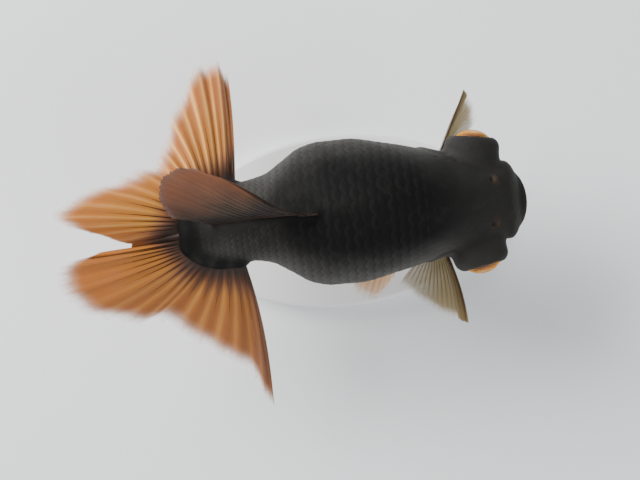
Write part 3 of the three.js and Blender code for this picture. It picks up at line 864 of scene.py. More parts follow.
# %% Where the scales are rooted
ROWS_ROUND = 34
SCALES_FROM, SCALES_TO = 19.0, 80.5
NAPE_PITCH, TRUNK_PITCH, TAIL_PITCH = 1.55, 2.15, 1.45
LATERAL_ROW = 0.18  # how high on the flank the lateral line runs, as a turn
LATERAL_FROM, LATERAL_TO = 25, 80
STEM_FROM = 70  # how far back the tail stem begins, where the scales keep clear of the fins' muscle
STEM_CLEAR, TRUNK_CLEAR = 2.6, 1.8
DEEPEST_SUNK = 0.065  # how far the scales at the edges of the coat are sunk into the skin


def pitch_at(back):
    """The step from one row of scales to the next, which is longest on the trunk."""
    nape = NAPE_PITCH + (TRUNK_PITCH - NAPE_PITCH) * smoothstep(20, 29, back)
    return nape + (TAIL_PITCH - nape) * smoothstep(55, 70, back)


def head_edge(bend):
    """How far back the scales start, for a turn up the side from the belly to the back."""
    return 20.4 + 3.4 * smoothstep(1.4, 0.3, bend) - 1.2 * smoothstep(-0.9, -1.5, bend)


stations = [SCALES_FROM]
while stations[-1] < SCALES_TO:
    stations.append(stations[-1] + float(pitch_at(stations[-1])))

LINE_STEPS = 40
fin_lines = np.concatenate([
    fins[name].at(np.linspace(0, 1, LINE_STEPS), np.full(LINE_STEPS, 0.02))
    for name in ("tail_left", "tail_right", "dorsal")
])
root_spots, root_sizes, root_maps, on_line, sunk = [], [], [], [], []
turns = np.linspace(0, 2 * np.pi, 721) + np.pi / 2
for i, back in enumerate(stations):
    clearance, settling = (STEM_CLEAR, 6.5) if back > STEM_FROM else (TRUNK_CLEAR, 3)
    ring = body_point(np.full(turns.size, back), turns, -COAT_DEPTH)
    run = np.concatenate([[0], np.cumsum(np.linalg.norm(np.diff(ring, axis=0), axis=1))])
    share = (np.arange(ROWS_ROUND) + 0.5 * (i % 2)) / ROWS_ROUND
    turn = np.interp(share * run[-1], run, turns)
    for spot, angle, at in zip(body_point(np.full(ROWS_ROUND, back), turn, -COAT_DEPTH), turn, share):
        bend = math.atan2(math.sin(angle), abs(math.cos(angle)))
        cover = math.hypot((back - COVER_BACK) / COVER_LENGTH, (bend - COVER_TURN) / COVER_HEIGHT)
        behind_head = back - head_edge(bend)
        to_fin = np.linalg.norm(fin_lines - spot, axis=1).min()
        if behind_head < 0 or cover < 1.03 or to_fin < clearance:
            continue
        settled = float(smoothstep(-2, 11, behind_head) * smoothstep(0.8, settling, to_fin))
        root_spots.append(spot)
        root_sizes.append((pitch_at(back) * (0.8 + 0.2 * settled), run[-1] / ROWS_ROUND, 1.0))
        sunk.append(DEEPEST_SUNK * (1 - settled))
        root_maps.append((back / BODY_LENGTH, at, 0))
        in_row = abs(bend - LATERAL_ROW) < math.pi / ROWS_ROUND
        on_line.append(float(in_row and LATERAL_FROM < back < LATERAL_TO))

field_slopes = np.gradient(field, CELL)


def lay_on_skin(spots, lift):
    """Moves places along the field's slope until they are lift above the finished skin."""
    for _ in range(3):
        cells = (spots - field_low) / CELL
        slope = np.stack([sample(part, cells) for part in field_slopes], -1)
        steep = np.maximum(np.linalg.norm(slope, axis=1, keepdims=True), 0.3)
        spots = spots - slope / steep * np.clip((sample(field, cells) - lift)[:, None] / steep, -0.6, 0.6)
    return spots, slope / steep


root_spots, normals = lay_on_skin(np.array(root_spots), 0.0)
lies = place(1, 0, 0) - normals * (normals @ place(1, 0, 0))[:, None]
lies /= np.linalg.norm(lies, axis=1, keepdims=True)
print(len(root_spots), "scales,", int(sum(on_line)), "of them on the lateral line")

# %% One scale
PLATE_ROOT, PLATE_REACH, PLATE_HALF_WIDTH = 0.7, 0.98, 0.70  # as shares of a scale's size
PLATE_RISE, PLATE_SUNK, PLATE_CURL, PLATE_THICK = 0.12, 0.065, 0.05, 0.05


def scale_plate(steps=3, across=6):
    """A flat fan with its free edge towards +X, before it is sized, and how high its points stand."""
    spots, local = [], []
    for thick in (0.5, -0.5):
        for i in range(steps + 1):
            for j in range(across + 1):
                u, v = (i / steps) ** 0.8, 2 * j / across - 1
                reach = math.sqrt(max(0.0, 1 - 0.72 * v * v))
                x = -PLATE_ROOT + u * (PLATE_ROOT + PLATE_REACH * reach)
                y = PLATE_HALF_WIDTH * v * (0.8 + 0.2 * math.sin(math.pi * min(u, 0.85)))
                lift = PLATE_RISE * u - PLATE_SUNK - PLATE_CURL * v * v
                spots.append((x, y, 0))
                local.append((u, v, lift + thick * PLATE_THICK * (1 - 0.5 * u)))
    width = across + 1
    half = (steps + 1) * width
    faces = []
    for i in range(steps):
        for j in range(across):
            a = i * width + j
            faces.append((a, a + width, a + width + 1, a + 1))
            faces.append((half + a, half + a + 1, half + a + width + 1, half + a + width))
    end = steps * width
    for j in range(across):
        faces.append((j, j + 1, half + j + 1, half + j))
        faces.append((end + j + 1, end + j, half + end + j, half + end + j + 1))
    for i in range(steps):
        a, b = i * width, i * width + across
        faces.append((a + width, a, half + a, half + a + width))
        faces.append((b, b + width, half + b + width, half + b))
    return np.array(spots), faces, np.array(local)


def add_attributes(mesh, **lists):
    """Gives every point of a mesh one number or one vector from each list."""
    for name, values in lists.items():
        values = np.asarray(values, np.float32)
        kind, field_name = ("FLOAT", "value") if values.ndim == 1 else ("FLOAT_VECTOR", "vector")
        mesh.attributes.new(name, kind, "POINT").data.foreach_set(field_name, values.ravel())


def read_numbers(mesh, name):
    """One number for every point of a mesh."""
    data = mesh.attributes[name].data
    values = np.zeros(len(data), np.float32)
    data.foreach_get("value", values)
    return values


def read_vectors(items):
    values = np.zeros(len(items) * 3, np.float32)
    items.foreach_get("vector", values)
    return values.reshape(-1, 3)


plate_spots, plate_faces, plate_local = scale_plate()
plate_mesh = bpy.data.meshes.new("scale_plate")
plate_mesh.from_pydata((plate_spots * MM).tolist(), [], plate_faces)
plate_mesh.shade_smooth()
add_attributes(plate_mesh, **dict(zip(("plate_u", "plate_v", "lift"), plate_local.T)))
plate = bpy.data.objects.new("scale_plate", plate_mesh)

# %% Geometry Nodes that lay the scales
def geometry_tree(name, sockets):
    """A Geometry Nodes group with named inputs, and a wire from each of them."""
    group = bpy.data.node_groups.new(name, "GeometryNodeTree")
    group.interface.new_socket("Geometry", in_out="INPUT", socket_type="NodeSocketGeometry")
    for label, kind in sockets:
        group.interface.new_socket(label, in_out="INPUT", socket_type=kind)
    group.interface.new_socket("Geometry", in_out="OUTPUT", socket_type="NodeSocketGeometry")
    tree = Tree(group)
    entry = group.nodes.new("NodeGroupInput")
    inputs = {socket.name: Wire(tree, socket) for socket in entry.outputs if socket.name}
    return group, tree, inputs


def end_tree(group, tree, geometry, material):
    """Turns the placed copies into one real mesh, gives it its material and hands it out."""
    real = tree.node("GeometryNodeRealizeInstances", None, {"Geometry": geometry})
    done = tree.node("GeometryNodeSetMaterial", None, {"Geometry": real, "Material": material})
    leave = group.nodes.new("NodeGroupOutput")
    tree.links.new(done.socket, leave.inputs[0])


def grow(name, mesh, group, values):
    """The plain mesh that a Geometry Nodes tree makes from a mesh of roots."""
    source = show(name + "_roots", mesh)
    modifier = source.modifiers.new(name, "NODES")
    modifier.node_group = group
    for item in group.interface.items_tree:
        if item.item_type == "SOCKET" and item.name in values:
            modifier[item.identifier] = values[item.name]
    source.update_tag()
    view = bpy.context.evaluated_depsgraph_get()
    made = bpy.data.meshes.new_from_object(source.evaluated_get(view), depsgraph=view)
    made.name = name
    source.modifiers.remove(modifier)
    bpy.data.objects.remove(source)
    return show(name, made)


def named(tree, name, kind="FLOAT_VECTOR"):
    """A wire from what each root carries under a name."""
    return tree.node("GeometryNodeInputNamedAttribute", {"data_type": kind}, {"Name": name})


scale_group, tree, inputs = geometry_tree("lay_scales", [
    ("Plate", "NodeSocketObject"), ("Overlap", "NodeSocketFloat"), ("Material", "NodeSocketMaterial"),
])
plate_shape = tree.node("GeometryNodeObjectInfo", None, {"Object": inputs["Plate"]}, "Geometry")
upright = tree.node("FunctionNodeAlignRotationToVector", {"axis": "Z"}, {"Vector": named(tree, "normal")})
laid = tree.node(
    "FunctionNodeAlignRotationToVector", {"axis": "X", "pivot_axis": "Z"},
    {"Rotation": upright, "Vector": named(tree, "lie")},
)
size = tree.node(
    "ShaderNodeVectorMath", {"operation": "SCALE"}, {0: named(tree, "size"), "Scale": inputs["Overlap"]},
)
scales_laid = tree.node("GeometryNodeInstanceOnPoints", None, {
    "Points": inputs["Geometry"], "Instance": plate_shape, "Rotation": laid, "Scale": size,
})
end_tree(scale_group, tree, scales_laid, inputs["Material"])

# %% [markdown]
# Seen close, each scale is darkest at its root and edge and palest just inside the edge, with fine growth
# rings. The paler band is a painted sheen, and the darker edge is a painted shade where the scale's free edge
# lies over the next row. The tone differs slightly from scale to scale, and the scales of the lateral line
# each have a dark pore. The two measures across the plate travel with it as attributes, so the material knows
# where on its scale it is.

# %% The scales' finish
RING_DEPTH = 0.022
# painted sheen: how much brighter the band just inside a scale's edge is made
SCALE_SHEEN = {"Bright": 0.202, "Contrast": 0.4}


def mesh_numbers(tree, *names):
    """A wire from each of a mesh's named numbers."""
    return [tree.node("ShaderNodeAttribute", {"attribute_name": name}, output="Fac") for name in names]


def make_scales(tree):
    spot, colour = markings(tree)
    u, v, tone, pored = mesh_numbers(tree, "plate_u", "plate_v", "tone", "pored")
    edge = (u * u + v * v * 0.35).maths("SQRT")
    # painted sheen: a paler band just inside the edge, stronger on some scales than on others
    painted_sheen = tree.step(edge, 0.55, 0.86) * (1 - tree.step(edge, 0.93, 1.0))
    sheen_colour = tree.node("ShaderNodeBrightContrast", None, {"Color": colour, **SCALE_SHEEN})
    shade = tree.mix(painted_sheen * (0.1 + tone * 0.7), colour, sheen_colour)
    # painted shade: the edge darkened towards black where it lies over the next row
    shade = tree.mix(tree.step(edge, 0.86, 1.0) * 0.35, shade, BLACK)
    lengthwise = tree.step(u, 0.5, 0.6) * (1 - tree.step(u, 0.78, 0.86))
    pore = (1 - tree.step(v.maths("ABSOLUTE"), 0.06, 0.16)) * lengthwise * pored
    rings = (edge * 75.0).maths("SINE") * 0.5 + tree.noise(spot, *FINE_GRAIN) * 2.0
    return {
        "Base Color": tree.mix(pore * 0.45, shade, BLACK),
        "Roughness": 0.5 + tone * 0.16,
        "Normal": tree.bump(rings - pore * 8.0, RING_DEPTH * MM, 0.6),
        "Specular IOR Level": 0.04,
    }


scale_finish = finish("scales", make_scales)

# %% Lay the scales
SCALE_RELIEF = 0.22  # how much of its own shading a scale keeps, so that the coat is quiet but not flat

random = np.random.default_rng(7)
roots = bpy.data.meshes.new("scale_roots")
roots.from_pydata(metres(root_spots).tolist(), [], [])
add_attributes(
    roots, normal=normals, lie=lies, size=root_sizes, tone=random.random(len(root_spots)), pored=on_line,
    sunk=sunk, bake_root=root_maps,
)
scales = grow("scales", roots, scale_group, {"Plate": plate, "Overlap": 1.0, "Material": scale_finish})
bpy.data.objects.remove(plate)

lift, sunk_by = (read_numbers(scales.data, label) for label in ("lift", "sunk"))
position = scales.data.attributes["position"].data
laid_flat = read_vectors(position) / MM - fish_origin
pressed, outward = lay_on_skin(laid_flat, lift - sunk_by)
position.foreach_set("vector", metres(pressed).astype(np.float32).ravel())
scales.data.update()
own_normals = read_vectors(scales.data.vertex_normals)
scales.data.normals_split_custom_set_from_vertices(outward + own_normals * SCALE_RELIEF)
moved = np.abs(pressed - laid_flat).max().round(2)
print("scales:", len(scales.data.polygons), "faces, moved by up to", moved, "mm")

# %% [markdown]
# Each scale gets a patch of its own in a map of the whole body, unrolled lengthwise and round. The patch
# lies at the scale's root, so neighbours stay neighbours in the map, and it is too small to touch the
# next one.

# %% The scales' map
PATCH = 0.0045  # a scale's share of the map

corner_point = np.zeros(len(scales.data.loops), np.int32)
scales.data.loops.foreach_get("vertex_index", corner_point)
on_plate = np.stack([read_numbers(scales.data, name) for name in ("plate_u", "plate_v")], -1)
patch_root = read_vectors(scales.data.attributes["bake_root"].data)[:, :2]
spread = patch_root + on_plate * (PATCH, PATCH / 2)
bake_map = scales.data.uv_layers.new(name="OFBake")
bake_map.data.foreach_set("uv", spread[corner_point].astype(np.float32).ravel())
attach(scales, "root")

# %% [markdown]
# A fin is skin stretched over bony rays. The skin is thin and clear enough to see through near the
# margin, so it is a closed sheet a sixth of a millimetre thick with folds between the rays. The rays are
# tapering rods that split on their way out. They follow a path, so Geometry Nodes sweep a round section
# along a mesh of edges whose points carry the thickness they should have.

# %% A fin's membrane
MEMBRANE_THICK = 0.16
FOLD = 0.14
FLESH_REACH = 2.6  # how far out the muscle at a fin's root thins away
STIFF_START, STIFF_END = (0, 0.1), (0.86, 0.97)  # the sides of a fin, where the margin is calm


def folded(fin, a, s):
    """How far the sheet lies off its middle: deepest on the way out, flatter again at the margin."""
    swell = smoothstep(0.05, 0.6, s) * (1 - 0.7 * smoothstep(0.8, 1, s))
    return FOLD * swell * np.cos(2 * np.pi * fin.rays * a)


def membrane(name, fin, flesh, relief, start=0.0, stop=1.0, columns=120, rows=44):
    """A closed thin sheet over the rays from start to stop, with flesh added where it leaves the body.

    Relief is how strongly the folds are shaded at the first and at the last rays, since wet skin hides much
    of them.
    """
    a, s = np.meshgrid(np.linspace(start, stop, columns + 1), np.linspace(0, 1, rows + 1), indexing="ij")
    fray = 0.006 * np.sin(a * fin.rays * 2 * np.pi)
    fray = fray + 0.004 * np.sin(a * 173.0) + 0.002 * np.sin(a * 397.0 + 1)
    loose = 0.25 + 0.65 * smoothstep(*STIFF_START, a) * (1 - smoothstep(*STIFF_END, a))
    s_out = s * (1 + (fray - 0.006) * loose * smoothstep(0.7, 1, s))
    here, skin_line, rim = fin.at(a, s), fin.at(a, np.zeros_like(s)), fin.at(a, np.ones_like(s))
    from_body = np.linalg.norm(here - skin_line, axis=-1)
    to_margin = np.linalg.norm(here - rim, axis=-1)
    half_thick = MEMBRANE_THICK / 2 * (1 - 0.4 * s)
    half_thick = half_thick + flesh / 2 * np.exp(-((from_body / FLESH_REACH) ** 1.5))
    sheets = [fin.at(a, s_out, folded(fin, a, s) + side * half_thick) for side in (1, -1)]
    grid = np.arange((columns + 1) * (rows + 1)).reshape(columns + 1, rows + 1)
    far = grid + grid.size

    def quads(g, flip=False):
        q = np.stack([g[:-1, :-1], g[1:, :-1], g[1:, 1:], g[:-1, 1:]], -1).reshape(-1, 4)
        return q[:, ::-1] if flip else q

    def strip(one, two):
        return np.stack([one[1:], one[:-1], two[:-1], two[1:]], -1)

    faces = np.concatenate([
        quads(grid), quads(far, True),
        strip(grid[:, 0], far[:, 0]), strip(grid[::-1, -1], far[::-1, -1]),
        strip(grid[0, ::-1], far[0, ::-1]), strip(grid[-1], far[-1]),
    ])
    obj = add_object(name, np.concatenate([sheet.reshape(-1, 3) for sheet in sheets]), faces.tolist())
    measures = {"ray": a, "share": s, "from_body": from_body, "to_margin": to_margin}
    measures = {label: np.tile(values.ravel(), 2) for label, values in measures.items()}
    add_attributes(obj.data, **measures)
    unfolded = fin.normal(a, fin.spread(a, s)).reshape(-1, 3)
    shown = relief[0] + (relief[1] - relief[0]) * smoothstep(0.35, 0.65, measures["ray"])
    own_normals = read_vectors(obj.data.vertex_normals) * shown[:, None]
    obj.data.normals_split_custom_set_from_vertices(own_normals + np.concatenate([unfolded, -unfolded]))
    return obj

# %% The rays' paths
RAY_GIRTH = 0.22
FIRST_RAY_STOUTER = 2.2
SPLIT = 0.45  # the share of its length at which a ray splits
BRANCH_GIRTH, BRANCH_SPREAD = 0.72, 0.24  # as shares of the ray's girth and of the gap between two rays
WHOLE_RAY = [(0, 0.0, 1.0)]  # to which side each part of a ray lies, and its ends
SPLIT_RAY = [(-1, SPLIT, 1.0), (1, SPLIT, 1.0), (0, 0.0, SPLIT + 0.01)]


def ray_paths(fin, start=0.0, stop=1.0, steps=22):
    """The places and edges along each ray and its two branches, with three numbers for every place."""
    spots, edges, measures = [], [], []
    for k in range(fin.rays):
        a = (k + 0.5) / fin.rays
        if not start <= a <= stop:
            continue
        stout = RAY_GIRTH * (1.0 if k else FIRST_RAY_STOUTER)
        for side, begin, end in SPLIT_RAY if k else WHOLE_RAY:
            s = np.linspace(begin, end * 0.985, steps + 1)
            lane = a + side * BRANCH_SPREAD / fin.rays * smoothstep(SPLIT, 1, s)
            girth = stout * (1 - 0.80 * s) * (BRANCH_GIRTH if side else 1.0) * MM
            first = len(spots) * (steps + 1)
            spots.append(fin.at(lane, s, folded(fin, lane, s)))
            edges += [(first + i, first + i + 1) for i in range(steps)]
            measures.append([girth, s, np.full(len(s), a)])
    girth, share, ray = np.concatenate(measures, axis=1)
    return np.concatenate(spots), edges, {"girth": girth, "share": share, "ray": ray}


ray_group, tree, inputs = geometry_tree("sweep_rays", [
    ("Sides", "NodeSocketInt"), ("Stoutness", "NodeSocketFloat"), ("Material", "NodeSocketMaterial"),
])
line = tree.node("GeometryNodeMeshToCurve", None, {"Mesh": inputs["Geometry"]})
girths = named(tree, "girth", "FLOAT") * inputs["Stoutness"]
circle = tree.node("GeometryNodeCurvePrimitiveCircle", None, {"Resolution": inputs["Sides"], "Radius": 1.0})
swept = tree.node("GeometryNodeCurveToMesh", None, {
    "Curve": line, "Profile Curve": circle, "Scale": girths, "Fill Caps": True,
})
end_tree(ray_group, tree, swept, inputs["Material"])


def rays(name, fin, material, **settings):
    """All the rays of a fin, or of the part of it from start to stop, as one mesh."""
    spots, edges, measures = ray_paths(fin, **settings)
    mesh = bpy.data.meshes.new(name + "_lines")
    mesh.from_pydata(metres(spots).tolist(), edges, [])
    add_attributes(mesh, **measures)
    obj = grow(name, mesh, ray_group, {"Sides": 6, "Stoutness": 1.0, "Material": material})
    obj.data.shade_smooth()
    return obj

# %% [markdown]
# The tail is black where it leaves the body and burns through brown to orange, then fades to a clear, smoky
# peach at the margin. Between the rays the folds catch the light, and that light is painted into the colour
# too: the dark tone in each fold is partly the rays' own and partly a painted shade, and the bright tone on
# each crest is a painted highlight, so every ray shows as a dark line beside a bright one. The colour is
# mixed from the distance to the body and to the margin, both measured along the rays in millimetres.

# %% The fins' finishes
ROOT_BLACK = (0.0230, 0.0130, 0.0095)
STREAK_DEPTH, RAY_JOINT_DEPTH = 0.1, 0.05


def firm_sides(tree, ray, widths):
    """1 on the rays at a fin's two sides that stay solid to the margin. Widths are shares of the fin."""
    first, last = (max(width, 0.001) for width in widths)
    leading = 1 - tree.step(ray, first * 0.7, first * 1.3)
    return leading.maths("MAXIMUM", tree.step(ray, 1 - last * 1.3, 1 - last * 0.7))


def fin_finish(
    name, rays_count, tones, edge_tone, edges, dark_reach, fade, solid, clear,
    pleated=(1, 1), lead=(0, 0), firm=(0, 0), sheer=0.0,
):
    """A see-through finish for a membrane.

    Tones are the colours near the body, near the margin, in the folds (the rays' own dark together with a
    painted shade), on the crests (a painted highlight) and at the thin margin, and edge_tone is the colour of
    the fin's two sides. The root is dark for about dark_reach millimetres, and over its last fade millimetres
    the margin thins from an alpha of solid to one of clear. Of each pair, the first is for the first rays and
    the second for the last: how far the darker sides reach in (edges), how strongly the painted fold shade
    and crest highlight show (pleated), how much further out the fin is black (lead), and how wide a side
    stays solid to the margin (firm). Sheer is how much clearer the fin becomes towards its last ray.
    """
    inner, outer, ray_dark_and_fold_shade, crest_highlight, smoky = tones

    def make(tree):
        ray, share, body, margin = mesh_numbers(tree, "ray", "share", "from_body", "to_margin")
        lane = tree.node("ShaderNodeCombineXYZ", None, [ray * (rays_count * 2.3), share * 1.6, 0.0])
        streaks = tree.noise(lane, 1.7, 3.0, 0.6)
        narrow_lane = tree.node("ShaderNodeCombineXYZ", None, [ray * (rays_count * 9.0), share * 3.0, 4.0])
        fine = tree.noise(narrow_lane, 1.0)
        smoke = tree.noise(tree.spot(), 160.0, 3.0)
        fold = ((ray * (rays_count * 2 * math.pi)).maths("COSINE") + 1) * 0.5

        fold_paint_strength = tree.step(ray, 0.4, 0.6) * (pleated[1] - pleated[0]) + pleated[0]
        colour = tree.mix(tree.step(share + (smoke - 0.5) * 0.5, 0.2, 0.9), inner, outer)
        # painted shade in each fold, on top of the rays' own dark
        painted_fold_shade = 1 - tree.step(fold + (streaks - 0.5) * 0.5, 0.0, 0.8)
        colour = tree.mix(painted_fold_shade * fold_paint_strength * 0.8, colour, ray_dark_and_fold_shade)
        # painted highlight on each crest between the rays
        painted_crest_highlight = tree.step(fold + (streaks - 0.5) * 0.7, 0.7, 1.0)
        colour = tree.mix(painted_crest_highlight * fold_paint_strength * 0.75, colour, crest_highlight)
        colour = tree.mix(tree.step(fine, 0.5, 0.68) * fold_paint_strength * 0.3, colour, ray_dark_and_fold_shade)

        wavy_ray = ray + (streaks - 0.5) * 0.06
        sides = 1 - tree.step(wavy_ray, 0.0, edges[0])
        sides = sides.maths("MAXIMUM", tree.step(wavy_ray, 1 - edges[1], 1.0)) * 0.85
        sides = sides * (1 - tree.step(share, 0.65, 1.0) * 0.3)
        colour = tree.mix(sides, colour, edge_tone)
        reach = body - (1 - fold) * dark_reach * 0.7 * fold_paint_strength + (streaks - 0.5) * dark_reach * 0.6
        reach = reach - sides * dark_reach * 0.9 - (1 - ray) * (1 - ray) * lead[0] - ray * ray * lead[1]
        colour = tree.mix(1 - tree.step(reach, dark_reach * 0.5, dark_reach * 1.9), colour, edge_tone)
        colour = tree.mix(1 - tree.step(reach, dark_reach * -0.2, dark_reach * 1.1), colour, ROOT_BLACK)

        solid_side = firm_sides(tree, ray, firm)
        ragged = (streaks - 0.5) * fade * 0.3 + (fine - 0.5) * fade * 0.15
        thin = 1 - tree.step(margin * (1 + solid_side * 4) + ragged, 0.0, fade)
        colour = tree.mix(thin * (1 - solid_side * 0.7) * 0.8, colour, smoky)
        dense = (1 - tree.step(body, dark_reach, dark_reach * 2)).maths("MAXIMUM", solid_side * 0.9)
        gone = thin * thin * (1.5 - thin * 0.5)
        alpha = ((solid + dense * (1 - solid)) * (1 - gone) + clear * gone).maths("MINIMUM", 1.0)
        return {
            "Base Color": colour,
            "Roughness": 0.5,
            "Alpha": alpha * (1 - tree.step(ray, 0.3, 1.0) * sheer),
            "Normal": tree.bump(streaks + fine, STREAK_DEPTH * MM, 0.5),
            "Specular IOR Level": 0.18,
        }

    return finish(name, make)


def ray_finish(
    name, dark, bright, edge_tone, solid, firm, black_to=(0.3, 0.3), fades=(0.6, 0.92), sheer=0.0,
):
    """A finish for rays, which are black near the body and go from dark to bright towards the margin.

    The black ends at one share of its length for the first ray and at another for the last (black_to), and
    the rays fade out between two shares (fades).
    """

    def make(tree):
        share, ray = mesh_numbers(tree, "share", "ray")
        solid_side = firm_sides(tree, ray, firm)
        from_black = share - ray * (black_to[1] - black_to[0]) - black_to[0]
        colour = tree.mix(tree.step(share - solid_side * 0.3, 0.4, 0.8), dark, bright)
        colour = tree.mix(solid_side * 0.85, colour, edge_tone)
        colour = tree.mix(tree.step(from_black, -0.2, 0.1), ROOT_BLACK, colour)
        joints = ((share * 260.0).maths("SINE") + 1) * 0.5
        alpha = solid * (1 - tree.step(share - solid_side * 0.25, *fades))
        return {
            "Base Color": colour,
            "Roughness": 0.6,
            "Alpha": alpha * (1 - tree.step(ray, 0.3, 0.9) * (1 - solid_side) * sheer),
            "Normal": tree.bump(joints, RAY_JOINT_DEPTH * MM, 0.4),
            "Specular IOR Level": 0.12,
        }

    return finish(name, make)

# %% The fins' tones: near the body, near the margin, in the folds (dark rays and painted shade), on the crests (painted highlight), at the thin margin
PALE_TAIL = (
    (0.47, 0.191, 0.016), (0.51, 0.168, 0.03),
    (0.291, 0.091, 0.018), (0.783, 0.419, 0.146), (0.84, 0.52, 0.36),
)
GOLD_TAIL = (
    (0.396, 0.135, 0.011), (0.45, 0.14, 0.025),
    (0.261, 0.081, 0.015), (0.558, 0.252, 0.054), (0.8, 0.48, 0.32),
)
DUSKY = (
    (0.038, 0.032, 0.023), (0.24, 0.092, 0.048),
    (0.104, 0.05, 0.032), (0.168, 0.092, 0.056), (0.192, 0.112, 0.096),
)
OLIVE = (
    (0.299, 0.211, 0.066), (0.334, 0.246, 0.088),
    (0.22, 0.154, 0.055), (0.405, 0.308, 0.132), (0.56, 0.46, 0.32),
)
PEACH = (
    (0.58, 0.33, 0.12), (0.74, 0.43, 0.20),
    (0.48, 0.26, 0.11), (0.80, 0.56, 0.32), (0.74, 0.54, 0.38),
)
RED_EDGE, TAIL_EDGE = (0.19, 0.07, 0.030), (0.120, 0.046, 0.024)
DUSKY_EDGE, OLIVE_EDGE = (0.020, 0.017, 0.016), (0.085, 0.045, 0.024)

# %% The fins' membranes and rays get their finishes
tail_skins, tail_rays = {}, {}
for side, tones, edge_tone, pleated, lead in (
    ("left", PALE_TAIL, RED_EDGE, (0.4, 1.0), (5.0, 3.5)),
    ("right", GOLD_TAIL, TAIL_EDGE, (0.2, 0.85), (5.0, 2.5)),
):
    tail_skins[side] = fin_finish(
        f"tail_membrane_{side}", fins[f"tail_{side}"].rays, tones, edge_tone, edges=(0.13, 0.18),
        dark_reach=4.0, fade=6.2, solid=0.9, clear=0.06, pleated=pleated, lead=lead, firm=(0.13, 0.0),
    )
    tail_rays[side] = ray_finish(
        f"tail_rays_{side}", dark=(0.22, 0.08, 0.026), bright=(0.50, 0.22, 0.09), edge_tone=edge_tone,
        solid=0.7, firm=(0.1, 0.05), black_to=(0.6, 0.14),
    )
dorsal_skin = fin_finish(
    "dorsal_membrane", fins["dorsal"].rays, DUSKY, DUSKY_EDGE, edges=(0.02, 0.45), dark_reach=3.6,
    fade=2.2, solid=0.92, clear=0.7, pleated=(0.3, 0.3), lead=(12, 0), firm=(0.12, 0), sheer=0.1,
)
dorsal_ray = ray_finish(
    "dorsal_rays", dark=(0.12, 0.075, 0.055), bright=(0.25, 0.14, 0.10), edge_tone=DUSKY_EDGE, solid=0.5,
    firm=(0.05, 0.0), black_to=(0.9, 0.3), fades=(0.4, 0.7), sheer=0.6,
)
paired_skin = fin_finish(
    "paired_membrane", fins["pectoral_left"].rays, OLIVE, OLIVE_EDGE, edges=(0.28, 0.01), dark_reach=0.9,
    fade=3.6, solid=0.72, clear=0.06, pleated=(0.45, 0.45), firm=(0.14, 0), sheer=0.4,
)
paired_ray = ray_finish(
    "paired_rays", dark=(0.24, 0.165, 0.085), bright=(0.42, 0.33, 0.20), edge_tone=OLIVE_EDGE, solid=0.5,
    firm=(0.1, 0), sheer=0.5,
)
belly_skin = fin_finish(
    "belly_fin_membrane", fins["pelvic_left"].rays, PEACH, OLIVE_EDGE, edges=(0.03, 0.01), dark_reach=0.9,
    fade=4.5, solid=0.6, clear=0.05, pleated=(0.35, 0.35),
)
belly_ray = ray_finish(
    "belly_fin_rays", dark=(0.46, 0.28, 0.12), bright=(0.66, 0.45, 0.26), edge_tone=PEACH[2], solid=0.5,
    firm=(0, 0),
)

# %% Make the fins
FIN_SETS = {  # slot, membrane, rays, flesh at the root, and how strongly the folds are shaded
    "dorsal": ("dusky_fin", dorsal_skin, dorsal_ray, 0.7, (0.4, 0.4)),
    "tail_left": ("orange_fin", tail_skins["left"], tail_rays["left"], 1.3, (0.6, 2.0)),
    "tail_right": ("orange_fin", tail_skins["right"], tail_rays["right"], 1.3, (0.2, 1.2)),
    "pectoral": ("olive_fin", paired_skin, paired_ray, 0.7, (0.6, 0.6)),
    "pelvic": ("olive_fin", belly_skin, belly_ray, 0.7, (0.6, 0.6)),
    "anal": ("orange_fin", tail_skins["right"], tail_rays["right"], 0.7, (1, 1)),
}
NOTCHES = {"tail_left": 0.5, "tail_right": 0.6}  # where each half of the tail parts into its two lobes


def dress_fin(node, fin, kind, **span):
    """Gives a fin of the solid model its membrane and its rays."""
    slot, skin_material, ray_material, flesh, relief = FIN_SETS[kind]
    sheet = membrane(node + "_membrane", fin, flesh, relief, **span)
    sheet.data.materials.append(skin_material)
    bones = rays(node + "_rays", fin, ray_material, **span)
    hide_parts(node)
    for piece in (sheet, bones):
        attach(piece, "root")
    print(node, "has", len(sheet.data.polygons), "faces of membrane and", len(bones.data.polygons), "of rays")


# The seam is coloured like the tail's first ray, and counts as further from a margin than it is.
seam_sheet = membrane("tail_seam", seam, 1.0, (1, 1), columns=16)
for label, share, more in (("ray", 0.03, 0.0), ("to_margin", 1.0, 2.0)):
    values = read_numbers(seam_sheet.data, label) * share + more
    seam_sheet.data.attributes[label].data.foreach_set("value", values.astype(np.float32))
seam_sheet.data.materials.append(tail_skins["right"])
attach(seam_sheet, "root")

for name, fin in fins.items():
    kind, _, side = name.partition("_")
    if name in NOTCHES:
        dress_fin(f"tail_upper_lobe_{side}", fin, name, start=0.0, stop=NOTCHES[name])
        dress_fin(f"tail_lower_lobe_{side}", fin, name, start=NOTCHES[name], stop=1.0)
    else:
        dress_fin(f"{kind}_fin_{side}" if side else f"{kind}_fin", fin, kind)

# %% [markdown]
# A fish's eye has no lids. A big round pupil looks out sideways, the iris round it is a sloping ring of
# orange and gold, and a clear dome of cornea covers both. The eyeball is a profile turned round the eye's
# axis, and the cornea is a second, clear shell just outside it. A Fresnel mix of a clear and a shiny shader
# gives it a faint wet gloss. Where it is seen edge on it is mixed with a flat amber, the colour of the iris,
# painted on as a glow that stands in for the iris seen through the cornea, so that the eyes glow when they
# are seen from above.

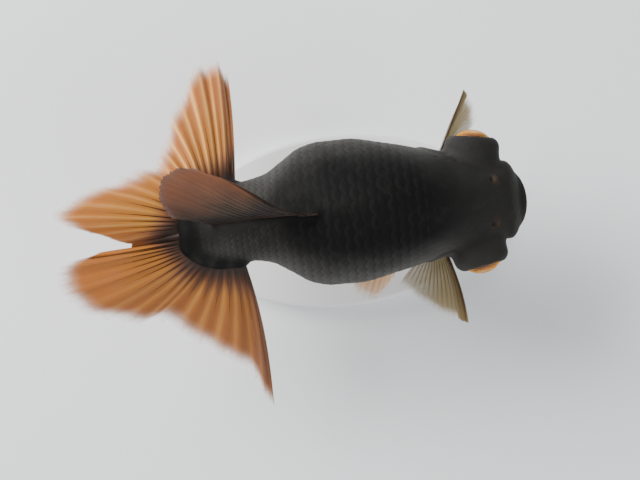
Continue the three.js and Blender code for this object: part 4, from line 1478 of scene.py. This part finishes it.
# %% Turned pieces
def turn_profile(name, profile, centre, axis, sides=64):
    """A closed surface from (radius, along) points, first and last on the axis."""
    side = np.cross(axis, (0, 0, 1))
    side /= np.linalg.norm(side)
    up = np.cross(side, axis)
    angle = np.linspace(0, 2 * np.pi, sides, endpoint=False)
    ring = np.cos(angle)[:, None] * side + np.sin(angle)[:, None] * up
    spots = [centre + axis * profile[0][1]]
    for radius, along in profile[1:-1]:
        spots.extend(centre + axis * along + ring * radius)
    spots.append(centre + axis * profile[-1][1])
    faces, rings = [], len(profile) - 2
    for j in range(sides):
        k = (j + 1) % sides
        faces.append((0, 1 + k, 1 + j))
        for i in range(rings - 1):
            a, b = 1 + i * sides, 1 + (i + 1) * sides
            faces.append((a + j, a + k, b + k, b + j))
        faces.append((len(spots) - 1, 1 + (rings - 1) * sides + j, 1 + (rings - 1) * sides + k))
    return add_object(name, spots, faces)


def arc(radius, start, stop, steps):
    """Points (radius, along) on a circle about the eye's centre, from one angle off the axis to another."""
    angles = np.radians(np.linspace(start, stop, steps + 1))
    return [(radius * math.sin(t), radius * math.cos(t)) for t in angles]


PUPIL_RADIUS, PUPIL_ALONG = 1.75, 5.15
BALL_RADIUS = EYE_RADIUS - 0.3  # leaves room for the cornea over it
RIM_ANGLE, CORNEA_ANGLE = 54.0, 62  # where the iris and the cornea end, in degrees off the eye's axis
CORNEA_OUTSIDE, CORNEA_INSIDE = EYE_RADIUS + 0.1, EYE_RADIUS - 0.1
rim_radius, rim_along = (BALL_RADIUS * f(math.radians(RIM_ANGLE)) for f in (math.sin, math.cos))
iris_slope = [
    (PUPIL_RADIUS + (rim_radius - PUPIL_RADIUS) * t, PUPIL_ALONG + (rim_along - PUPIL_ALONG) * t**1.85)
    for t in np.linspace(0, 1, 12)
]
eyeball_profile = [(0, PUPIL_ALONG - 0.6), (0.9, PUPIL_ALONG - 0.55), (1.5, PUPIL_ALONG - 0.4)]
eyeball_profile += iris_slope + arc(BALL_RADIUS, RIM_ANGLE + 4, 150, 20) + [(0, -BALL_RADIUS * 0.87)]
cornea_profile = [(0, CORNEA_OUTSIDE)] + arc(CORNEA_OUTSIDE, 4, CORNEA_ANGLE, 20)
cornea_profile += arc(CORNEA_INSIDE, CORNEA_ANGLE, 4, 20) + [(0, CORNEA_INSIDE)]

# %% The eyes' finishes
IRIS_STOPS = [  # from the pupil outwards
    (0.0, (0.72, 0.34, 0.012)), (0.2, (0.44, 0.14, 0.001)), (0.4, (0.19, 0.042, 0.0)),
    (0.6, (0.08, 0.010, 0.0)), (1.0, (0.02, 0.005, 0.003)),
]
PUPIL_BLACK = (0.003, 0.003, 0.003)
# painted glow: a flat amber that stands in for the iris seen through the edge of the cornea
PAINTED_IRIS_AMBER = (0.72, 0.30, 0.006, 1)
CLEAR_WHITE = (1, 1, 1, 1)
FLECK_DEPTH = 0.05


def make_eye(centre, axis):
    """What gives the finish of an eye whose pupil lies on the axis."""

    def make(tree):
        spot = tree.spot()
        arm = tree.vector("SUBTRACT", spot, tuple(metres(centre)))
        along = tree.vector("DOT_PRODUCT", arm, tuple(axis), output=1) / MM
        length = tree.reach(spot, centre)
        out = (length * length - along * along).maths("MAXIMUM", 0.0).maths("SQRT")
        flecks = tree.noise(spot, 700.0, 4.0, 0.7)
        ring = (out - PUPIL_RADIUS) / (rim_radius - PUPIL_RADIUS) + (flecks - 0.5) * 0.22
        iris = tree.node("ShaderNodeValToRGB", {"stops": IRIS_STOPS}, {"Fac": ring})
        pupil = 1 - tree.step(out, PUPIL_RADIUS - 0.12, PUPIL_RADIUS)
        outer = 1 - tree.step(along, rim_along - 0.7, rim_along - 0.1)
        dark = pupil.maths("MAXIMUM", outer)
        return {
            "Base Color": tree.mix(dark, iris, PUPIL_BLACK),
            "Roughness": 0.45 + dark * 0.3,
            "Normal": tree.bump(flecks, FLECK_DEPTH * MM, 0.5),
            "Specular IOR Level": 0.0,
        }

    return make


cornea_finish = bpy.data.materials.new("cornea")
cornea_finish.use_nodes = True
tree = Tree(cornea_finish.node_tree)
tree.nodes.remove(tree.nodes["Principled BSDF"])
clear = tree.node("ShaderNodeBsdfTransparent", None, {"Color": CLEAR_WHITE})
gloss = tree.node("ShaderNodeBsdfGlossy", None, {"Color": CLEAR_WHITE, "Roughness": 0.02})
wet = tree.node("ShaderNodeFresnel", None, {"IOR": 1.34}).maths("MINIMUM", 0.03)
mixed = tree.node("ShaderNodeMixShader", None, [wet, clear, gloss])
slant = tree.node("ShaderNodeLayerWeight", None, {"Blend": 0.5}, "Facing").maths("POWER", 3.0)
# painted glow: where the cornea is seen edge on, it turns a flat amber in place of the iris seen through it
painted_iris_glow = tree.node("ShaderNodeBsdfDiffuse", None, {"Color": PAINTED_IRIS_AMBER})
mixed = tree.node("ShaderNodeMixShader", None, [slant, mixed, painted_iris_glow])
tree.links.new(mixed.socket, tree.nodes["Material Output"].inputs["Surface"])

for side, (centre, axis) in eyes.items():
    ball = turn_profile(f"eyeball_{side}", eyeball_profile, centre, axis)
    ball.data.materials.append(finish(f"iris_{side}", make_eye(centre, axis)))
    dome = turn_profile(f"cornea_{side}", cornea_profile, centre, axis)
    dome.data.materials.append(cornea_finish)
    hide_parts(f"eye_{side}")
    for piece in (ball, dome):
        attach(piece, "root")
    print(side, "eye:", len(ball.data.polygons), "faces, cornea:", len(dome.data.polygons), "faces")

# %% [markdown]
# The stand is kept plain so that it doesn't draw the eye: a pale satin base and brushed steel rods. The
# solids already have the right shape, so they only get finishes: an even lacquer with the faintest orange
# peel, and steel whose roughness streaks along the rod.

# %% The stand
LACQUER_WHITES = (0.80, 0.805, 0.81), (0.85, 0.85, 0.855)
STEEL_GREYS = (0.50, 0.51, 0.53), (0.62, 0.63, 0.64)
PEEL_DEPTH = 0.02
BRUSHING = (3000.0, 3000.0, 120.0)  # streaks in each metre, far longer upwards than they are wide


def make_lacquer(tree):
    spot = tree.spot()
    peel = tree.noise(spot, 700.0, 2.0)
    cloud = tree.noise(spot, 30.0, 2.0)
    return {
        "Base Color": tree.mix(cloud, *LACQUER_WHITES),
        "Roughness": 0.36 + cloud * 0.08,
        "Normal": tree.bump(peel, PEEL_DEPTH * MM, 0.35),
    }


def make_steel(tree):
    brushed = tree.noise(tree.vector("MULTIPLY", tree.spot(), BRUSHING), 1.0, 2.0)
    return {
        "Base Color": tree.mix(brushed, *STEEL_GREYS),
        "Metallic": 1.0,
        "Roughness": 0.24 + brushed * 0.16,
    }


lacquer, steel = finish("white_lacquer", make_lacquer), finish("brushed_steel", make_steel)
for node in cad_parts:
    if node.startswith("stand_"):
        solid = bpy.data.objects[node]
        solid.data.materials.clear()
        solid.data.materials.append(lacquer if node == "stand_base" else steel)

# %% [markdown]
# The fish is seen from straight above, as when it swims in a shallow white tray: the head points to the
# right and a little up. The camera looks down on the middle of the fish from a third of a metre, and is
# turned about its own axis so that the fish lies at its angle. A soft lamp up and to the left, a fainter
# and wider one on the other side and a bright surround give even light.

# %% Camera, floor and light
VIEW_DISTANCE, FIELD_WIDTH = 350, 160
AIM_BACK, AIM_LEFT = 52.3, -4.85
ROLL = math.radians(5.96)
SENSOR = 36
FLOOR_HALF = 20.0  # in metres
TRAY_WHITE = (0.885, 0.90, 0.915, 1)
BRIGHT_SKY, GREY_SKY = (0.975, 0.99, 1.0), (0.28, 0.285, 0.29)

lens = bpy.data.cameras.new("camera")
lens.sensor_width = SENSOR
lens.lens = SENSOR * VIEW_DISTANCE / FIELD_WIDTH
camera = show("camera", lens)
camera.location = metres(place(AIM_BACK, AIM_LEFT, VIEW_DISTANCE))
camera.rotation_euler = (0, 0, -ROLL)
bpy.context.scene.camera = camera

floor_mesh = bpy.data.meshes.new("floor")
corners = [(FLOOR_HALF * x, FLOOR_HALF * y, 0) for x, y in ((-1, -1), (1, -1), (1, 1), (-1, 1))]
floor_mesh.from_pydata(corners, [], [(0, 1, 2, 3)])
floor = show("floor", floor_mesh)
floor_mesh.materials.append(finish("tray", lambda tree: {"Base Color": TRAY_WHITE, "Roughness": 0.6}))

world = bpy.data.worlds.new("surround")
world.use_nodes = True
tree = Tree(world.node_tree)
background = tree.nodes["Background"].inputs
ahead, _, zenith = tree.parts(tree.node("ShaderNodeTexCoord", output="Generated"))
sky = tree.mix(tree.step(zenith, 0.25, 0.95), BRIGHT_SKY, GREY_SKY)
sky = tree.mix(tree.step(ahead, 0.1, 0.9) * 0.6, sky, GREY_SKY)
background["Strength"].default_value = 1.0
tree.links.new(sky.socket, background["Color"])
bpy.context.scene.world = world


def soft_lamp(name, where, size, power, colour):
    """A square lamp that looks at the origin. Its place and size are in metres, its power in watts."""
    lamp = bpy.data.lights.new(name, "AREA")
    lamp.shape = "SQUARE"
    lamp.size, lamp.energy, lamp.color = size, power, colour
    obj = show(name, lamp)
    obj.location = where
    x, y, z = where
    obj.rotation_euler = (math.atan2(math.hypot(x, y), z), 0, math.atan2(-y, -x) - math.pi / 2)


soft_lamp("window", where=(-0.45, 0.36, 0.5), size=0.45, power=9.8, colour=(1.0, 1.0, 0.99))
soft_lamp("bounce", where=(0.7, -0.6, 0.6), size=0.8, power=6.5, colour=(0.95, 0.98, 1.0))
